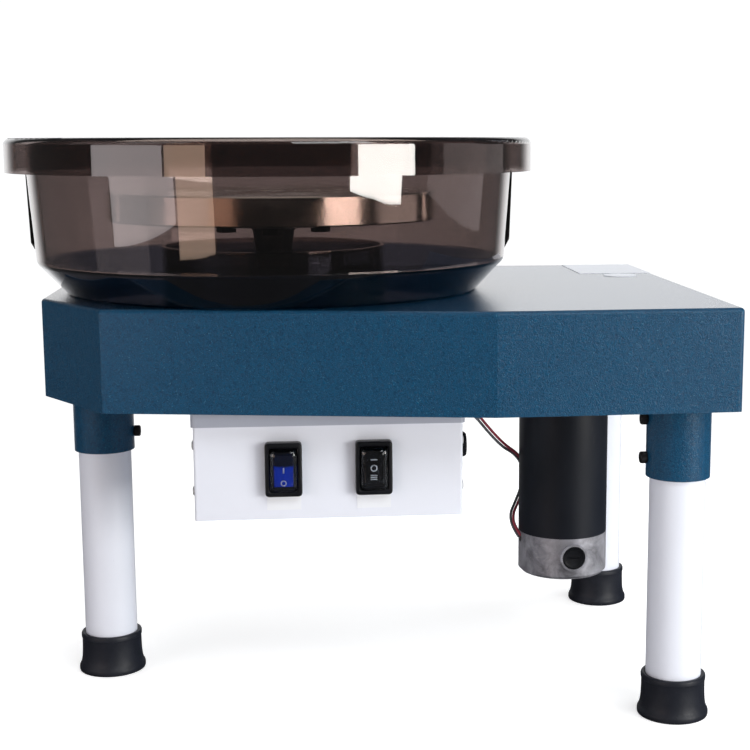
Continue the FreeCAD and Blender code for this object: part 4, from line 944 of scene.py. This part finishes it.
def make_pedal_socket():
    """A round panel socket: notched ring nut, barrel, and pins in its bore."""
    grip = notched(9.1, 0.7, 12)
    ring = shaped([
        (7.5, -14), (7.5, 0), (8.6, 0), (9.0, 0.3), (grip, 0.7), (grip, 3.9), (8.8, 4.3),
        (8.3, 5.1), (7.9, 5.4), (6.3, 5.4), (5.8, 5.2), (5.6, 4.8), (5.6, -3.8), (5.2, -4),
    ], 144)
    pins = [lathe(MIDDLE_PIN, 20)]
    for degrees in PIN_ANGLES:
        angle = math.radians(degrees)
        pins.append(placed(lathe(OUTER_PIN, 20), PIN_CIRCLE * math.cos(angle),
                           PIN_CIRCLE * math.sin(angle), 0))
    mesh = join("foot_pedal_socket", [ring] + pins)
    placed(mesh, BOX_SIDE, *SOCKET_PLACE, ALONG_X)
    piece("foot_pedal_socket", mesh, "base", "switch_black", ["pedal_socket"], sharp=28)


def make_gland():
    """A ribbed bush where the motor wires leave the box."""
    grip = notched(4.5, 0.35, 8)
    mesh = shaped([
        (2.9, -5), (2.9, 0), (4.2, 0), (4.4, 0.3), (grip, 0.7), (grip, 3.6), (4.3, 4.0),
        (3.9, 4.4), (3.7, 5.6), (3.4, 6.8), (3.1, 7.0),
    ], 96)
    placed(mesh, BOX_SIDE, *GLAND_PLACE, ALONG_X)
    piece("wire_gland", mesh, "base", "switch_black", ["cable_gland"], sharp=28)


make_earth_terminal()
make_pedal_socket()
make_gland()


# ---------------------------------------------------------------- motor's brush caps

# In mm: how far each cap's seat is from the motor's axis, and its height. In degrees: how
# far the pair is turned about that axis.
CAP_SEAT = 27.3
CAP_HEIGHT = 88.7
CAP_TURN = 5.0


def make_brush_caps():
    """A slotted screw cap over each brush."""
    caps = []
    for turn, side in ((FRONTWARDS, -1), (BACKWARDS, 1)):
        slot = slotted(9.0, 1.6)
        cap = shaped([
            (9.2, 0), (9.2, 7.9), (9.0, 8.35), (8.6, 8.6), (7.5, 8.6), (7.1, 8.45),
            (6.8, 8.1), (6.4, 8.0), (slot, 8.0), (slot, 6.9),
        ], 96)
        placed(cap, 0, CAP_SEAT * side, CAP_HEIGHT, turn)
        caps.append(cap)
    mesh = join("brush_cap_pair", caps)
    placed(mesh, MOTOR_X / MM, 0, 0, Matrix.Rotation(math.radians(CAP_TURN), 4, "Z"))
    piece("brush_cap_pair", mesh, "base", "switch_black", ["brush_caps"], sharp=28)


make_brush_caps()


# ---------------------------------------------------------------- basin's sealing strips

# The strip's outline as (distance from the wheel's axis, height) in mm.
SEAL_OUTLINE = (
    (82, 301.8), (155, 301.8), (176.8, 325), (178, 330), (182.4, 338), (184.9, 391),
    (181.5, 391.2), (181.5, 415.4), (178.6, 415.4), (178.6, 391), (173.9, 326.2),
    (153.9, 304.7), (84.9, 304.7), (84.9, 335), (82, 335),
)

# The strip's outer edge is rippled by so many mm between these heights, past this distance
# from the axis, with a point every few mm.
SEAL_STEP = 2.2
SEAL_RIPPLE = 0.35
RIPPLE_FROM = 177
RIPPLE_LOW = 330
RIPPLE_HIGH = 390.5

# The strip's sections across its thickness: distance from the split, and how far the
# outline is drawn in there.
SEAL_SECTIONS = ((-0.6, 0.15), (-0.4, 0), (0.4, 0), (0.6, 0.15))


def make_seals():
    """Foam strips pinched between the halves, squeezed out a little past the ribs."""
    strips = []
    for side in (-1, 1):
        points = []
        for here, there in zip(SEAL_OUTLINE, SEAL_OUTLINE[1:] + SEAL_OUTLINE[:1]):
            start, run = Vector(here), Vector(there) - Vector(here)
            steps = max(1, round(run.length / SEAL_STEP))
            for step in range(steps):
                point = start + run * step / steps
                if point.x > RIPPLE_FROM and RIPPLE_LOW < point.y < RIPPLE_HIGH:
                    ripple = math.sin(point.y * 1.9) * math.sin(point.y * 0.83 + side)
                    point.x += SEAL_RIPPLE * ripple
                points.append(point)
        loops = []
        for depth, inset in SEAL_SECTIONS:
            loops.append([((point.x - inset) * side * MM, depth * MM, point.y * MM)
                          for point in points])
        strips.append(placed(loft("strip", loops), WHEEL_X / MM, 0, 0))
    piece("foam_strips", join("foam_strips", strips), "basin_rear", "seal_rubber",
          ["basin_seals"], sharp=50)


make_seals()


# ---------------------------------------------------------------- light, room and floor

def area_light(name, bearing, distance, low, high, wide, radiance, colour=(1, 1, 1)):
    """An upright soft box facing the wheel's axis, at a bearing in degrees to the right of
    the front, with its lowest and highest edge, its width and its radiance."""
    tall = high - low
    data = bpy.data.lights.new(name, "AREA")
    data.shape = "RECTANGLE"
    data.size = wide
    data.size_y = tall
    data.energy = radiance * math.pi * wide * tall
    data.color = colour
    light = bpy.data.objects.new(name, data)
    angle = math.radians(bearing)
    light.location = (WHEEL_X + distance * math.sin(angle), -distance * math.cos(angle),
                      (low + high) / 2)
    light.rotation_euler = (math.radians(90), 0, angle)
    light.visible_camera = False
    bpy.context.collection.objects.link(light)
    return light


def make_lights():
    """Low soft boxes and a warm card that the glossy basin reflects, and others that light
    the rest and that nothing reflects."""
    area_light("key_low", 47, 2.0, 0.06, 0.66, 0.88, 14.0, (1.0, 0.985, 0.94))
    area_light("key_high", 27, 1.9, 1.1, 2.3, 1.2, 5.2, (0.96, 0.985, 1.0))
    area_light("fill_low", -58, 1.6, 0.08, 0.55, 0.92, 2.6, (1.0, 0.94, 0.955))
    area_light("fill_high", -50, 1.9, 1.2, 2.0, 1.0, 0.8)
    area_light("warm_card", -33, 1.75, 0.0, 0.55, 0.5, 2.8, (1.0, 0.72, 0.54))
    bounce = area_light("left_bounce", -70, 1.1, -0.1, 0.25, 0.6, 1.6, (0.95, 0.97, 1.0))
    bounce.location.z = 0.12
    bounce.visible_glossy = False
    top = area_light("overhead", 0, 0.2, 1.2, 2.8, 1.8, 1.7)
    top.location = (0.1, 0.2, 2.0)
    top.rotation_euler = (0, 0, 0)
    top.visible_glossy = False
    side = area_light("side_right", 95, 1.9, 0.1, 1.7, 1.4, 2.8, (0.95, 0.98, 1.0))
    side.visible_glossy = False


# How brightly the room glows on its dim sides, behind the machine and overhead.
ROOM_LIGHT = 0.07
WALL_LIGHT = 1.06
CEILING_LIGHT = 0.7

# Between which parts of a direction's Y and Z the dim room turns into wall and ceiling.
WALL_FADE = (0.74, 0.92)
CEILING_FADE = (0.86, 0.99)


def make_world():
    """A white wall behind the machine, a pale ceiling, and a dim room on the other sides.
    What the camera itself sees of it is white all round."""
    world = bpy.data.worlds.new("studio")
    world.use_nodes = True
    tree = world.node_tree
    ground = tree.nodes["Background"]
    place = tree.nodes.new("ShaderNodeTexCoord")
    parts = tree.nodes.new("ShaderNodeSeparateXYZ")
    tree.links.new(place.outputs["Generated"], parts.inputs[0])
    wall = tree.nodes.new("ShaderNodeMapRange")
    wall.interpolation_type = "SMOOTHSTEP"
    set_range(wall, *WALL_FADE, ROOM_LIGHT, WALL_LIGHT)
    tree.links.new(parts.outputs["Y"], wall.inputs["Value"])
    dome = tree.nodes.new("ShaderNodeMapRange")
    dome.interpolation_type = "SMOOTHSTEP"
    set_range(dome, *CEILING_FADE, 0.0, CEILING_LIGHT)
    tree.links.new(parts.outputs["Z"], dome.inputs["Value"])
    around = tree.nodes.new("ShaderNodeMath")
    around.operation = "MAXIMUM"
    tree.links.new(wall.outputs["Result"], around.inputs[0])
    tree.links.new(dome.outputs["Result"], around.inputs[1])
    seen = tree.nodes.new("ShaderNodeLightPath").outputs["Is Camera Ray"]
    brighter = tree.nodes.new("ShaderNodeMath")
    brighter.operation = "MAXIMUM"
    tree.links.new(around.outputs[0], brighter.inputs[0])
    tree.links.new(seen, brighter.inputs[1])
    tree.links.new(brighter.outputs[0], ground.inputs["Strength"])
    ground.inputs["Color"].default_value = (0.99, 0.992, 1.0, 1)
    bpy.context.scene.world = world


FLOOR_RADIUS = 1.6
FLOOR_FADE = (0.65, 1.35)
FLOOR_PALE = (0.86, 0.86, 0.865)
FLOOR_REFLECTED = (0.10, 0.10, 0.11)
FLOOR_GLOW = 0.60


def make_floor():
    """A plain pale floor that fades into the white surroundings."""
    work = bmesh.new()
    bmesh.ops.create_circle(work, cap_ends=True, radius=FLOOR_RADIUS, segments=96)
    mesh = bpy.data.meshes.new("floor")
    work.to_mesh(mesh)
    work.free()
    floor = bpy.data.objects.new("floor", mesh)
    bpy.context.collection.objects.link(floor)
    f = Finish("floor_pale")
    rays = f.tree.nodes.new("ShaderNodeLightPath")
    f.set(Base_Color=f.blend(rays.outputs["Is Glossy Ray"], FLOOR_PALE, FLOOR_REFLECTED),
          Roughness=0.6, Specular_IOR_Level=0.1, Emission_Color=(1.0, 1.0, 1.0),
          Emission_Strength=f.maths("MULTIPLY", rays.outputs["Is Camera Ray"], FLOOR_GLOW),
          Alpha=f.span(f.axis_distance(0.0), *FLOOR_FADE, 1.0, 0.0))
    mesh.materials.append(f.material)


make_lights()
make_world()
make_floor()
bpy.context.scene.view_settings.view_transform = "Standard"
bpy.context.scene.view_settings.look = "None"
